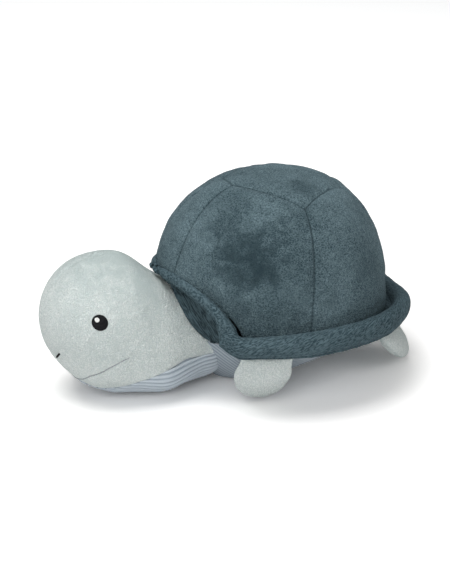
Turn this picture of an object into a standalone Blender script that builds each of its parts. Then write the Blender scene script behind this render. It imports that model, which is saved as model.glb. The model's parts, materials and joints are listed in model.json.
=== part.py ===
"""Plush turtle: a soft toy sewn from pile fabric panels round fibre filling.

The turtle looks along -Y, its left side is +X, and it stands on Z = 0.
The origin lies on the floor under the middle of the whole toy.
Every fabric piece is a thin closed solid, and each filling sits inside its pieces.
"""

import math

import bmesh
import bpy
from mathutils import Vector

MM = 0.001

# Fabric and sewing
PILE_FABRIC = 1.8 * MM
RIB_FABRIC = 1.6 * MM
FOOT_FABRIC = 1.4 * MM
SEAM_GAP = 0.3 * MM
SEAM_DIP = 0.9 * MM
FILL_GAP = 0.5 * MM
BODY_FILL_GAP = 1.2 * MM
WELD = 0.01 * MM

# Shell, measured from the middle of its rim
SHELL_HALF_WIDTH = 86.0 * MM
SHELL_HALF_LENGTH = 89.0 * MM
SHELL_HEIGHT = 101.0 * MM
SHELL_ROUNDNESS = 2.7
RIM_HEIGHT = 51.0 * MM
CROWN_FRONT_HALF = 11.5 * MM
CROWN_FRONT_REACH = 34.0 * MM
CROWN_SIDE_REACH = 52.0 * MM
CROWN_SIDE_BACK = 5.0 * MM
CROWN_REAR_HALF = 16.0 * MM
CROWN_REAR_REACH = 50.0 * MM
FRONT_SEAM_ANGLE = math.radians(13.0)
SIDE_SEAM_ANGLE = math.radians(88.0)
REAR_SEAM_ANGLE = math.radians(160.0)
SHELL_ROWS = 6
CROWN_RINGS = 3
CROWN_EDGE_STEPS = (2, 4, 4, 2, 4, 4)
CROWN_DIP_START_SHARE = 0.75
SIDE_DIP_START_SHARE = 0.6
TOP_DIP_END_SHARE = 0.33
TOP_SLIT_WIDENING = 1.2
NARROW_PANEL_COLUMNS = 4
WIDE_PANEL_COLUMNS = 7
CREASE_ANGLE = math.radians(40.0)

# Belly, a shallow bowl with a flat to rest on
BELLY_FLAT_HALF_WIDTH = 15.0 * MM
BELLY_FLAT_HALF_LENGTH = 22.0 * MM
BELLY_FLAT_FORWARD = 24.0 * MM
BELLY_BOWL_POWER = 1.35
BELLY_ROWS = 4
BODY_COLUMNS = 24
BODY_FILL_COLUMNS = 18

# Brim, a padded edge turned up round the shell
BRIM_GAP = 1.0 * MM
BRIM_HALF_HEIGHT = 10.8 * MM
BRIM_HALF_THICKNESS = 7.2 * MM
BRIM_LEAN = 2.5 * MM
BRIM_MIDDLE_HEIGHT = 53.5 * MM
CORNER_ANGLE = math.radians(57.0)
BRIM_SEAM_LOW = math.radians(128.0)
BRIM_SEAM_HIDDEN = math.radians(228.0)
BRIM_STEPS = 8
BRIM_UPPER_COLUMNS = 7
BRIM_UNDER_COLUMNS = 3

# Front band, where the brim rises in an arch over the neck
ARCH_RISE = 32.5 * MM
ARCH_INSET = 11.5 * MM
ARCH_NOTCH = 2.5 * MM
ARCH_NOTCH_SHARE = 0.3
ARCH_POWER = 3.1
ARCH_ROUND = 0.85
ARCH_DEPTH_MIDDLE = 9.0 * MM
ARCH_DEPTH_CORNER = 19.0 * MM
ARCH_BACK = 7.5 * MM
ARCH_BACK_RISE_MIDDLE = 1.0 * MM
ARCH_BACK_RISE_CORNER = -3.0 * MM
ARCH_LIP = 7.5 * MM
ARCH_KNEE_SHARE = 0.55
ARCH_HEEL_SHARE = 0.4
ARCH_END_SHARE = 0.99
ARCH_END_EXTRA = 2.5 * MM
FABRIC_MOST_SHARE = 0.5
FILLING_MOST_SHARE = 0.75
ARCH_STEPS = 12
RIDGE_INDEX = 6
HEM_INDEX = 12
ARCH_CUT_GAP = 0.6 * MM
CUT_MARGIN = 30.0 * MM
CUT_INSIDE = 7.0 * MM

# Head and neck
HEAD_MIDDLE = Vector((0.0, -127.0 * MM, 59.0 * MM))
HEAD_RADIUS = 48.0 * MM
NECK_PIVOT = Vector((0.0, -66.0 * MM, 40.0 * MM))
NECK_RADIUS = 38.8 * MM
NECK_CLEARANCE = 1.8 * MM
BALL_CLEARANCE = 1.5 * MM
NECK_WAIST = 6.5 * MM
ROOM_FLARE = 2.0 * MM
ROOM_STEPS = 16
THROAT_DROP = 14.0 * MM
HEAD_BACK_ANGLE = math.radians(112.0)
NECK_FRONT_ANGLE = math.radians(78.0)
NECK_HEM_ANGLE = math.radians(126.0)
HEAD_ROWS_SHARE = 0.52
NECK_ROWS_SHARE = 0.785
THROAT_START_SHARE = 0.30
CHIN_TIP_SHARE = 0.28
CHIN_CLEARANCE = 0.8 * MM
CHIN_HALF_ANGLE = math.radians(80.0)
CHIN_FULL_SHARE = 0.74
NECK_BALL_RADIUS = 28.0 * MM
NECK_STEM_RADIUS = 12.5 * MM
NECK_BALL_COLUMNS = 12
NECK_BALL_ROWS = 6
HOLLOW_COLUMNS = 16
HOLLOW_ROWS = 8
SOCKET_COLUMNS = 24
SOCKET_ROWS = 7
SOCKET_FRONT_ROWS = 4
LIP_TOP_ANGLE = math.radians(64.0)
LIP_SIDE_ANGLE = math.radians(92.0)
LIP_SIDE_TURN = math.radians(81.0)
HEAD_ROWS = 14
CHEEK_COLUMNS = 6
CHIN_COLUMNS = 5

# Face
EYE_RADIUS = 5.6 * MM
EYE_THICKNESS = 1.0 * MM
EYE_ROW_SHARE = 0.328
EYE_TURN = math.radians(70.0)
HIGHLIGHT_RADIUS = 1.5 * MM
HIGHLIGHT_THICKNESS = 0.5 * MM
HIGHLIGHT_RISE = 2.0 * MM
HIGHLIGHT_FORWARD = 1.5 * MM
EYE_LIFT = 0.45 * MM
THREAD_RADIUS = 0.5 * MM
MOUTH_LIFT = 1.1 * MM
NOSTRIL_ROW_SHARE = 0.150
NOSTRIL_TURN = math.radians(134.0)
NOSTRIL_LENGTH = 6.5 * MM
NOSTRIL_SLANT = math.radians(53.0)
MOUTH_ROW_SHARES = (0.438, 0.403, 0.357, 0.322, 0.289, 0.262, 0.250)
MOUTH_TURN_SHARES = (0.550, 0.572, 0.617, 0.667, 0.728, 0.860, 1.0)
THREAD_SIDES = 6
THREAD_STEPS = 2
DISC_SIDES = 14
DISC_REACH_SHARES = (0.0, 1.0, 1.0, 0.72, 0.0)
DISC_RISE_SHARES = (0.0, 0.0, 0.55, 0.86, 1.0)

# Feet
FRONT_FOOT_LENGTH = 41.0 * MM
REAR_FOOT_LENGTH = 43.0 * MM
FOOT_HALF_WIDTH = 21.0 * MM
FOOT_ROOT_HALF_WIDTH = 18.5 * MM
FOOT_HALF_THICKNESS = 8.0 * MM
FOOT_ROOT_RADIUS = 3.0 * MM
FOOT_ROWS = 4
FOOT_ROOT_ROWS = 2
FOOT_COLUMNS = 10
FOOT_TIP_POWER = 3.2
FOOT_TIP_ROUND = 0.45
FOOT_SWELL = 2.4
FRONT_FOOT_ANGLE = math.radians(69.0)
FRONT_FOOT_SLOPE = math.radians(-117.0)
FRONT_FOOT_SWEEP = math.radians(-9.0)
REAR_FOOT_ANGLE = math.radians(150.0)
REAR_FOOT_SLOPE = math.radians(-60.0)
REAR_FOOT_SWEEP = math.radians(32.0)
FOOT_ROOT_SHARE = 0.91
PROBE_SHARE = 0.01

# Colours of the finishes
SHELL_COLOUR = (0.085, 0.130, 0.150)
SKIN_COLOUR = (0.560, 0.630, 0.610)
RIB_COLOUR = (0.400, 0.470, 0.550)
FIBRE_COLOUR = (0.880, 0.880, 0.860)
BLACK_THREAD = (0.012, 0.012, 0.014)
WHITE_THREAD = (0.850, 0.850, 0.840)
GREY_THREAD = (0.300, 0.330, 0.350)

FRONT_TO_MIDDLE = (HEAD_RADIUS - HEAD_MIDDLE.y - SHELL_HALF_LENGTH
                   - BRIM_GAP - BRIM_HALF_THICKNESS * 2) / 2
SHIFT = Vector((0.0, FRONT_TO_MIDDLE, 0.0))


def clear_scene():
    """Remove everything that the new scene may hold."""
    for item in list(bpy.data.objects):
        bpy.data.objects.remove(item, do_unlink=True)


def blend(start, end, share):
    """Go from start to end by a share between 0 and 1."""
    return start + (end - start) * share


def ease(share):
    """Turn a share into a smooth step between 0 and 1."""
    held = min(1.0, max(0.0, share))
    return held * held * (3.0 - 2.0 * held)


def shares(count):
    """Give count + 1 even shares from 0 to 1."""
    return [step / count for step in range(count + 1)]


def finish(name, colour, roughness=0.95):
    """Make a plain finish in one colour."""
    material = bpy.data.materials.new(name)
    material.use_nodes = True
    shader = material.node_tree.nodes["Principled BSDF"]
    shader.inputs["Base Color"].default_value = (*colour, 1.0)
    shader.inputs["Roughness"].default_value = roughness
    shader.inputs["Metallic"].default_value = 0.0
    return material


def add_piece(name, mesh, colour, pivot=None):
    """Weld a mesh shut, give it a finish and place it under its pivot."""
    bmesh.ops.remove_doubles(mesh, verts=mesh.verts, dist=WELD)
    bare = [edge for edge in mesh.edges if not edge.link_faces]
    bmesh.ops.delete(mesh, geom=bare, context="EDGES")
    bmesh.ops.recalc_face_normals(mesh, faces=mesh.faces)
    if mesh.calc_volume(signed=True) < 0.0:
        bmesh.ops.reverse_faces(mesh, faces=mesh.faces)
    origin = Vector() if pivot is None else pivot.location
    bmesh.ops.translate(mesh, verts=mesh.verts, vec=SHIFT - origin)
    data = bpy.data.meshes.new(name)
    mesh.to_mesh(data)
    mesh.free()
    data.shade_smooth()
    data.set_sharp_from_angle(angle=CREASE_ANGLE)
    piece = bpy.data.objects.new(name, data)
    bpy.context.collection.objects.link(piece)
    data.materials.append(finish(name + "_finish", colour))
    piece.parent = pivot
    return piece


def add_pivot(name, place):
    """Mark a joint with an empty that carries the pieces that turn on it."""
    pivot = bpy.data.objects.new(name, None)
    pivot.location = place + SHIFT
    bpy.context.collection.objects.link(pivot)
    bpy.context.view_layer.update()
    return pivot


def make_cutter(name, mesh):
    """Keep a closed mesh as a guide that only cuts other pieces."""
    cutter = add_piece(name, mesh, FIBRE_COLOUR)
    cutter.hide_render = True
    cutter.display_type = "WIRE"
    return cutter


def cut_away(piece, cutters):
    """Take each cutter's space out of a piece."""
    for cutter in cutters:
        cut = piece.modifiers.new(cutter.name, "BOOLEAN")
        cut.operation = "DIFFERENCE"
        cut.solver = "EXACT"
        cut.object = cutter


def grid_faces(mesh, rows, wrap, flip):
    """Fill the space between rows of corners, each quad split the same way."""
    count = len(rows[0])
    last = count if wrap else count - 1
    for upper, lower in zip(rows, rows[1:]):
        for left in range(last):
            right = (left + 1) % count
            halves = ((upper[left], upper[right], lower[right]), (upper[left], lower[right], lower[left]))
            for half in halves:
                mesh.faces.new(half[::-1] if flip else half)


def fabric_mesh(outer, inner, wrap=False):
    """Close the fabric between rows of outer points and rows of inner points."""
    mesh = bmesh.new()
    outer_rows = [[mesh.verts.new(point) for point in row] for row in outer]
    inner_rows = [[mesh.verts.new(point) for point in row] for row in inner]
    grid_faces(mesh, outer_rows, wrap, False)
    grid_faces(mesh, inner_rows, wrap, True)
    for end in (0, -1):
        grid_faces(mesh, [outer_rows[end], inner_rows[end]], wrap, False)
    if not wrap:
        for side in (0, -1):
            outer_edge = [row[side] for row in outer_rows]
            inner_edge = [row[side] for row in inner_rows]
            grid_faces(mesh, [outer_edge, inner_edge], False, False)
    return mesh


def filled_mesh(rows):
    """Close a form from rings of points, each end drawn in to its middle."""
    mesh = bmesh.new()
    rings = []
    for row in (rows[0], *rows, rows[-1]):
        rings.append(row)
    for end in (0, -1):
        middle = sum(rings[end], Vector()) / len(rings[end])
        rings[end] = [middle for _ in rings[end]]
    corners = [[mesh.verts.new(point) for point in row] for row in rings]
    grid_faces(mesh, corners, True, False)
    return mesh


def ball_mesh(middle, radius, columns, rows):
    """Make a closed ball whose poles lie along Y."""
    rings = []
    for share in shares(rows)[1:-1]:
        polar = math.pi * share
        rings.append([middle + radius * turned(polar, math.tau * step / columns)
                      for step in range(columns)])
    mesh = bmesh.new()
    front = [middle + radius * turned(0.0, 0.0)] * columns
    back = [middle + radius * turned(math.pi, 0.0)] * columns
    corners = [[mesh.verts.new(point) for point in row] for row in (front, *rings, back)]
    grid_faces(mesh, corners, True, False)
    return mesh


def turned(polar, turn):
    """Direction at a polar angle from the front, turned from the top to the left."""
    across = math.sin(polar)
    return Vector((across * math.sin(turn), -math.cos(polar), across * math.cos(turn)))


# Shell and belly surfaces

def shell_point(angle, rho, depth):
    """Point of the shell, rho from 0 at the crown to 1 at the rim."""
    rise = (1.0 - min(rho, 1.0) ** SHELL_ROUNDNESS) ** (1.0 / SHELL_ROUNDNESS)
    return Vector(((SHELL_HALF_WIDTH - depth) * rho * math.sin(angle),
                   -(SHELL_HALF_LENGTH - depth) * rho * math.cos(angle),
                   RIM_HEIGHT + (SHELL_HEIGHT - depth) * rise))


def row_to_rho(row):
    """Spread rows evenly along the shell's curve."""
    return math.sin(math.pi / 2 * row) ** (2.0 / SHELL_ROUNDNESS)


def rho_to_row(rho):
    """Give the row share at which the shell reaches rho."""
    return math.asin(min(1.0, rho ** (SHELL_ROUNDNESS / 2.0))) / (math.pi / 2)


def crown_place(corner):
    """Angle and rho of a point of the crown that is given in plan."""
    across = corner.x / SHELL_HALF_WIDTH
    along = -corner.y / SHELL_HALF_LENGTH
    return math.atan2(across, along) % math.tau, math.hypot(across, along)


def belly_point(angle, rise, depth):
    """Point of the belly bowl, rise from 0 at the flat to 1 at the rim."""
    span = SHELL_HALF_WIDTH - BELLY_FLAT_HALF_WIDTH
    rim_rise = math.hypot(1.0, RIM_HEIGHT * BELLY_BOWL_POWER / span)
    height = RIM_HEIGHT - SEAM_GAP - RIB_FABRIC * rim_rise
    steep = height * BELLY_BOWL_POWER / span * rise ** (BELLY_BOWL_POWER - 1.0)
    flat = Vector((BELLY_FLAT_HALF_WIDTH * math.sin(angle),
                   -BELLY_FLAT_FORWARD - BELLY_FLAT_HALF_LENGTH * math.cos(angle), 0.0))
    rim = Vector(((SHELL_HALF_WIDTH - depth) * math.sin(angle),
                  -(SHELL_HALF_LENGTH - depth) * math.cos(angle), 0.0))
    place = flat.lerp(rim, rise)
    place.z = height * rise ** BELLY_BOWL_POWER + depth * math.hypot(1.0, steep)
    return place


def crown_corners():
    """Six corners of the crown panel, anticlockwise from the front right."""
    return [Vector((-CROWN_FRONT_HALF, -CROWN_FRONT_REACH, 0.0)),
            Vector((CROWN_FRONT_HALF, -CROWN_FRONT_REACH, 0.0)),
            Vector((CROWN_SIDE_REACH, CROWN_SIDE_BACK, 0.0)),
            Vector((CROWN_REAR_HALF, CROWN_REAR_REACH, 0.0)),
            Vector((-CROWN_REAR_HALF, CROWN_REAR_REACH, 0.0)),
            Vector((-CROWN_SIDE_REACH, CROWN_SIDE_BACK, 0.0))]


def crown_panel():
    """Make the six-sided panel on top of the shell."""
    corners = crown_corners()
    edge = []
    for index, steps in enumerate(CROWN_EDGE_STEPS):
        following = corners[(index + 1) % len(corners)]
        edge += [corners[index].lerp(following, step / steps) for step in range(steps)]
    layers = []
    for depth in (0.0, PILE_FABRIC):
        rows = []
        for share in shares(CROWN_RINGS):
            reach = share * (1.0 - SEAM_GAP / CROWN_FRONT_REACH)
            past = (share - CROWN_DIP_START_SHARE) / (1.0 - CROWN_DIP_START_SHARE)
            dip = SEAM_DIP * ease(past) if depth == 0.0 else 0.0
            row = []
            for corner in edge:
                angle, rho = crown_place(corner * reach)
                row.append(shell_point(angle, rho, depth + dip))
            rows.append(row)
        layers.append(rows)
    add_piece("shell_top_panel", fabric_mesh(layers[0], layers[1], True), SHELL_COLOUR)


def side_panel(name, index, low_start, low_end, columns, cutters):
    """Make a side panel from one edge of the crown down to the rim."""
    corners = crown_corners()
    start = corners[index]
    end = corners[(index + 1) % len(corners)]
    layers = []
    for depth in (0.0, PILE_FABRIC):
        rows = []
        for down in shares(SHELL_ROWS):
            row = []
            for across in shares(columns):
                angle, rho = crown_place(start.lerp(end, across))
                low = blend(low_start, low_end, across)
                angle += math.tau * round((low - angle) / math.tau)
                inset = SEAM_GAP / SHELL_HALF_WIDTH / 2
                side = blend(inset, -inset, across) * (1.0 + TOP_SLIT_WIDENING * (1.0 - down))
                lowered = blend(rho_to_row(rho) + inset, 1.0, down)
                border = max(abs(across * 2.0 - 1.0), 1.0 - down / TOP_DIP_END_SHARE)
                past = (border - SIDE_DIP_START_SHARE) / (1.0 - SIDE_DIP_START_SHARE)
                dip = SEAM_DIP * ease(past) if depth == 0.0 else 0.0
                row.append(shell_point(blend(angle, low, down) + side, row_to_rho(lowered), depth + dip))
            rows.append(row)
        layers.append(rows)
    piece = add_piece(name, fabric_mesh(layers[0], layers[1]), SHELL_COLOUR)
    cut_away(piece, cutters)


def shell_panels(cutters):
    """Make the six side panels of the shell."""
    front = FRONT_SEAM_ANGLE
    side = SIDE_SEAM_ANGLE
    rear = REAR_SEAM_ANGLE
    narrow = NARROW_PANEL_COLUMNS
    wide = WIDE_PANEL_COLUMNS
    side_panel("shell_front_panel", 0, -front, front, narrow, cutters)
    side_panel("shell_front_left_panel", 1, front, side, wide, cutters)
    side_panel("shell_rear_left_panel", 2, side, rear, wide, [])
    side_panel("shell_rear_panel", 3, rear, math.tau - rear, narrow, [])
    side_panel("shell_rear_right_panel", 4, math.tau - rear, math.tau - side, wide, [])
    side_panel("shell_front_right_panel", 5, math.tau - side, math.tau - front, wide, cutters)


def belly_panel(cutters):
    """Make the ribbed belly panel with its flat underside."""
    turns = [math.tau * step / BODY_COLUMNS for step in range(BODY_COLUMNS)]
    layers = []
    for depth in (0.0, RIB_FABRIC):
        rows = [[Vector((0.0, -BELLY_FLAT_FORWARD, depth)) for _ in turns]]
        for rise in shares(BELLY_ROWS):
            rows.append([belly_point(turn, rise, depth) for turn in turns])
        layers.append(rows)
    piece = add_piece("belly_panel", fabric_mesh(layers[0], layers[1], True), RIB_COLOUR)
    cut_away(piece, cutters)


def body_filling(cutters):
    """Make the fibre that fills the shell and the belly."""
    turns = [math.tau * step / BODY_FILL_COLUMNS for step in range(BODY_FILL_COLUMNS)]
    depth = PILE_FABRIC + BODY_FILL_GAP
    rows = []
    for share in shares(SHELL_ROWS + 1)[1:]:
        rho = row_to_rho(share)
        rows.append([shell_point(turn, rho, depth) for turn in turns])
    for share in shares(BELLY_ROWS)[-2::-1]:
        rows.append([belly_point(turn, share, RIB_FABRIC + BODY_FILL_GAP) for turn in turns])
    piece = add_piece("body_filling", filled_mesh(rows), FIBRE_COLOUR)
    cut_away(piece, cutters)


# Brim

def brim_frame(angle):
    """Middle, upright and outward directions of the brim at an angle."""
    out = Vector((math.sin(angle), -math.cos(angle), 0.0))
    reach = BRIM_GAP + BRIM_HALF_THICKNESS
    middle = Vector(((SHELL_HALF_WIDTH + reach) * out.x, (SHELL_HALF_LENGTH + reach) * out.y,
                     BRIM_MIDDLE_HEIGHT))
    upright = (Vector((0.0, 0.0, BRIM_HALF_HEIGHT)) + out * BRIM_LEAN).normalized()
    return middle, upright, out


def brim_ring(angle, turns, depth):
    """Points round the brim's section, turned from its ridge to its outer face."""
    middle, upright, out = brim_frame(angle)
    tall = BRIM_HALF_HEIGHT - depth
    thick = BRIM_HALF_THICKNESS - depth
    return [middle + upright * tall * math.cos(turn) + out * thick * math.sin(turn)
            for turn in turns]


def spread(start, end, count):
    """Give count + 1 even values from start to end."""
    return [blend(start, end, share) for share in shares(count)]


def brim_side(side, start, end):
    """Make one half of the brim: upper band, under band and filling."""
    pinch = SEAM_GAP / SHELL_HALF_WIDTH
    angles = spread(start + pinch, end - pinch, BRIM_STEPS)
    slit = SEAM_GAP / BRIM_HALF_THICKNESS / 2
    upper = spread(BRIM_SEAM_HIDDEN - math.tau + slit, BRIM_SEAM_LOW - slit, BRIM_UPPER_COLUMNS)
    under = spread(BRIM_SEAM_LOW + slit, BRIM_SEAM_HIDDEN - slit, BRIM_UNDER_COLUMNS)
    for part, turns in (("upper_band", upper), ("under_band", under)):
        outer = [brim_ring(angle, turns, 0.0) for angle in angles]
        inner = [brim_ring(angle, turns, PILE_FABRIC) for angle in angles]
        add_piece(f"brim_{side}_{part}", fabric_mesh(outer, inner), SHELL_COLOUR)
    whole = [*upper[:-1], BRIM_SEAM_LOW, *under[1:-1], BRIM_SEAM_HIDDEN]
    rows = [brim_ring(angle, whole, PILE_FABRIC + FILL_GAP) for angle in angles]
    add_piece(f"brim_{side}_filling", filled_mesh(rows), FIBRE_COLOUR)


def arch_ridge(share):
    """Top of the front band, share from -1 at the right corner to 1 at the left one."""
    away = abs(share)
    middle, upright, out = brim_frame(share * CORNER_ANGLE)
    corner = middle + upright * BRIM_HALF_HEIGHT
    inset = ARCH_INSET * (1.0 - away ** 4)
    notch = ARCH_NOTCH * max(0.0, 1.0 - away / ARCH_NOTCH_SHARE) ** 2
    rise = ARCH_RISE * (1.0 - away ** ARCH_POWER) ** ARCH_ROUND - notch
    return corner - out * inset + Vector((0.0, 0.0, rise))


def clear_of_neck(place, gap):
    """Push a place out of the room in which the neck and the back of the head move."""
    front = HEAD_ROWS_SHARE
    rear = 1.0
    for _ in range(ROOM_STEPS):
        row = (front + rear) / 2
        along = neck_share(row)
        axis = HEAD_MIDDLE.lerp(NECK_PIVOT, along)
        axis.y = place.y
        arm = place - axis
        surface = head_point(row, math.atan2(arm.x, arm.z), 0.0)
        if surface.y < place.y:
            front = row
        else:
            rear = row
    room = (surface - axis).length + NECK_CLEARANCE + gap + ROOM_FLARE * (1.0 - along)
    return axis + arm * max(1.0, room / arm.length)


def arch_lip(share, reach):
    """Edge of the front band on the neck, at a reach from the neck's pivot."""
    away = abs(share)
    polar = blend(LIP_TOP_ANGLE, LIP_SIDE_ANGLE, away ** 3)
    return NECK_PIVOT + reach * turned(polar, share * LIP_SIDE_TURN)


def arch_section(share, depth, most=FABRIC_MOST_SHARE):
    """Closed section of the front band: face from lip to ridge, then back to the lip."""
    away = abs(share)
    ridge = arch_ridge(share)
    out = brim_frame(share * CORNER_ANGLE)[2]
    lip = clear_of_neck(arch_lip(share, NECK_RADIUS), SEAM_GAP)
    drop = blend(ARCH_DEPTH_MIDDLE, ARCH_DEPTH_CORNER, away ** 4)
    rise = blend(ARCH_BACK_RISE_MIDDLE, ARCH_BACK_RISE_CORNER, away ** 2)
    cheek = clear_of_neck(ridge + out * BRIM_LEAN * (1.0 - away) - Vector((0.0, 0.0, drop)), SEAM_GAP)
    back = ridge - out * ARCH_BACK + Vector((0.0, 0.0, rise))
    along = (ridge - lip).normalized()
    facing = arch_tangent(share)
    inward = facing.cross(along).normalized()
    if inward.dot(out) > 0.0:
        inward = -inward
    hem = lip + inward * ARCH_LIP + along * ARCH_LIP / 2
    knee = lip.lerp(cheek, ARCH_KNEE_SHARE)
    heel = hem.lerp(back, ARCH_HEEL_SHARE)
    outline = rounded([lip, knee, cheek, ridge, back, heel, hem], 2)
    outline = [clear_of_neck(point, SEAM_GAP) for point in outline]
    return drawn_in(outline, depth, most)


def drawn_in(outline, depth, most):
    """Move a closed outline inwards by a depth, at most a share of its half thickness."""
    count = len(outline)
    middle = sum(outline, Vector()) / count
    facing = Vector()
    for index in range(count):
        facing += (outline[index - 1] - middle).cross(outline[index] - middle)
    facing.normalize()
    moved = []
    for index, point in enumerate(outline):
        before = outline[index - 1]
        after = outline[(index + 1) % count]
        partner = outline[(HEM_INDEX - index) % count]
        across = (after - before).length
        if partner != point:
            across = min(across, (partner - point).length)
        inward = facing.cross(after - before).normalized()
        moved.append(point + inward * min(depth, most * across / 2))
    return moved


def arch_tangent(share):
    """Direction in which the arch runs at a share."""
    step = 1.0 / ARCH_STEPS
    held = min(1.0 - step, max(step - 1.0, share))
    return (arch_ridge(held + step) - arch_ridge(held - step)).normalized()


def rounded(points, steps):
    """Round a closed outline with a smooth curve through its points."""
    curve = []
    count = len(points)
    for index in range(count):
        before, start, end, after = (points[(index + offset) % count] for offset in (-1, 0, 1, 2))
        for step in range(steps):
            share = step / steps
            curve.append(0.5 * (start * 2.0 + (end - before) * share
                                + (before * 2.0 - start * 5.0 + end * 4.0 - after) * share ** 2
                                + (start * 3.0 - before - end * 3.0 + after) * share ** 3))
    return curve


def arch_spread():
    """Shares along the arch, set closer towards its two corners."""
    even = spread(-1.0, 1.0, ARCH_STEPS)
    return [-ARCH_END_SHARE, *[math.sin(math.pi / 2 * value) for value in even[1:-1]], ARCH_END_SHARE]


def brim_front():
    """Make the arched front band: face, back and filling."""
    stations = arch_spread()
    outer = [arch_section(share, 0.0) for share in stations]
    inner = [arch_section(share, PILE_FABRIC) for share in stations]
    face = range(0, RIDGE_INDEX + 1)
    back = range(RIDGE_INDEX, HEM_INDEX + 1)
    for part, columns in (("face", face), ("back", back)):
        layers = [[[row[column] for column in columns] for row in rows] for rows in (outer, inner)]
        trim_edges(layers)
        add_piece(f"brim_front_{part}", fabric_mesh(layers[0], layers[1]), SHELL_COLOUR)
    rows = [arch_section(share, PILE_FABRIC + FILL_GAP, FILLING_MOST_SHARE) for share in stations]
    add_piece("brim_front_filling", filled_mesh(rows), FIBRE_COLOUR)


def trim_edges(layers):
    """Draw the two long edges of a band in by half a seam gap."""
    for rows in layers:
        for row in rows:
            for edge, neighbour in ((0, 1), (-1, -2)):
                step = row[neighbour] - row[edge]
                row[edge] = row[edge] + step * (SEAM_GAP / 2 / step.length)


def arch_cutters():
    """Guides that clear the front band and the neck opening out of the body."""
    rows = []
    for share in arch_spread():
        grown = arch_section(share, -ARCH_CUT_GAP)
        outward = brim_frame(share * CORNER_ANGLE)[2] * CUT_MARGIN
        high = grown[RIDGE_INDEX] + outward
        low = arch_lip(share, NECK_RADIUS - CUT_INSIDE)
        floor_high = Vector((high.x, high.y, -CUT_MARGIN))
        floor_low = Vector((low.x, low.y, -CUT_MARGIN))
        rows.append([*grown[RIDGE_INDEX:], grown[0], low, floor_low, floor_high, high])
    for end, hand in ((0, -1.0), (-1, 1.0)):
        angle = CORNER_ANGLE * hand
        extra = Vector((math.cos(angle), math.sin(angle), 0.0)) * ARCH_END_EXTRA * hand
        moved = [point + extra for point in rows[end]]
        rows.insert(0 if end == 0 else len(rows), moved)
    opening = make_cutter("guide_neck_opening", filled_mesh(rows))
    return opening, make_cutter("guide_neck_room", neck_room())


def neck_room():
    """Close the space in which the neck and the back of the head move."""
    turns = [math.tau * step / SOCKET_COLUMNS for step in range(SOCKET_COLUMNS)]
    rows = []
    for row in spread(HEAD_ROWS_SHARE, NECK_ROWS_SHARE, SOCKET_FRONT_ROWS):
        lift = NECK_CLEARANCE + ROOM_FLARE * (1.0 - neck_share(row))
        rows.append([head_point(row, turn, lift) for turn in turns])
    for polar in spread(NECK_FRONT_ANGLE, math.pi, SOCKET_ROWS)[1:-1]:
        rows.append([NECK_PIVOT + (NECK_RADIUS + NECK_CLEARANCE) * turned(polar, turn) for turn in turns])
    return filled_mesh(rows)


# Head

def neck_share(row):
    """How far a row has gone from the head's ball to the neck's ball."""
    return ease((row - HEAD_ROWS_SHARE) / (NECK_ROWS_SHARE - HEAD_ROWS_SHARE))


def head_point(row, turn, lift):
    """Point of the head: row from 0 at the nose to 1 at the neck's hidden hem."""
    along = neck_share(row)
    if row < HEAD_ROWS_SHARE:
        polar = HEAD_BACK_ANGLE * row / HEAD_ROWS_SHARE
    elif row < NECK_ROWS_SHARE:
        polar = blend(HEAD_BACK_ANGLE, NECK_FRONT_ANGLE, along)
    else:
        share = (row - NECK_ROWS_SHARE) / (1.0 - NECK_ROWS_SHARE)
        polar = blend(NECK_FRONT_ANGLE, NECK_HEM_ANGLE, share)
    top_share = (1.0 + math.cos(turn)) / 2
    waist = NECK_WAIST * math.sin(math.pi * along) * top_share
    radius = blend(HEAD_RADIUS, NECK_RADIUS, along) - waist + lift
    point = HEAD_MIDDLE.lerp(NECK_PIVOT, along) + radius * turned(polar, turn)
    fall = ease((row / HEAD_ROWS_SHARE - THROAT_START_SHARE) / (1.0 - THROAT_START_SHARE))
    point.z -= THROAT_DROP * fall * (1.0 - along) * (1.0 - top_share)
    point.z = max(point.z, CHIN_CLEARANCE - lift)
    return point


def chin_half_angle(row):
    """Half of the angle that the chin panel spans at a row."""
    share = (row - CHIN_TIP_SHARE) / (CHIN_FULL_SHARE - CHIN_TIP_SHARE)
    return CHIN_HALF_ANGLE * math.sqrt(min(1.0, max(0.0, share)))


def head_rows():
    """Row shares of the head, the same for every piece that meets on it."""
    return shares(HEAD_ROWS)


def head_turns(row):
    """Turns round the head at a row: from the top to the chin seam, then over half the chin."""
    half = chin_half_angle(row)
    return spread(0.0, math.pi - half, CHEEK_COLUMNS), spread(math.pi - half, math.pi + half, CHIN_COLUMNS)


def head_side_panel(side, hand, pivot):
    """Make one cheek panel, from the top seam round to the chin seam."""
    layers = []
    for lift in (0.0, -PILE_FABRIC):
        rows = []
        for row in head_rows():
            turns = head_turns(row)[0]
            turns[-1] -= SEAM_GAP / HEAD_RADIUS / 2
            points = []
            for index, turn in enumerate(turns):
                dip = SEAM_DIP / 2 if index == 0 and lift == 0.0 else 0.0
                point = head_point(row, turn, lift - dip)
                point.x += SEAM_GAP / 2
                point.x *= hand
                points.append(point)
            rows.append(points if hand > 0.0 else points[::-1])
        layers.append(rows)
    add_piece(f"head_{side}_panel", fabric_mesh(layers[0], layers[1]), SKIN_COLOUR, pivot)


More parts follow.
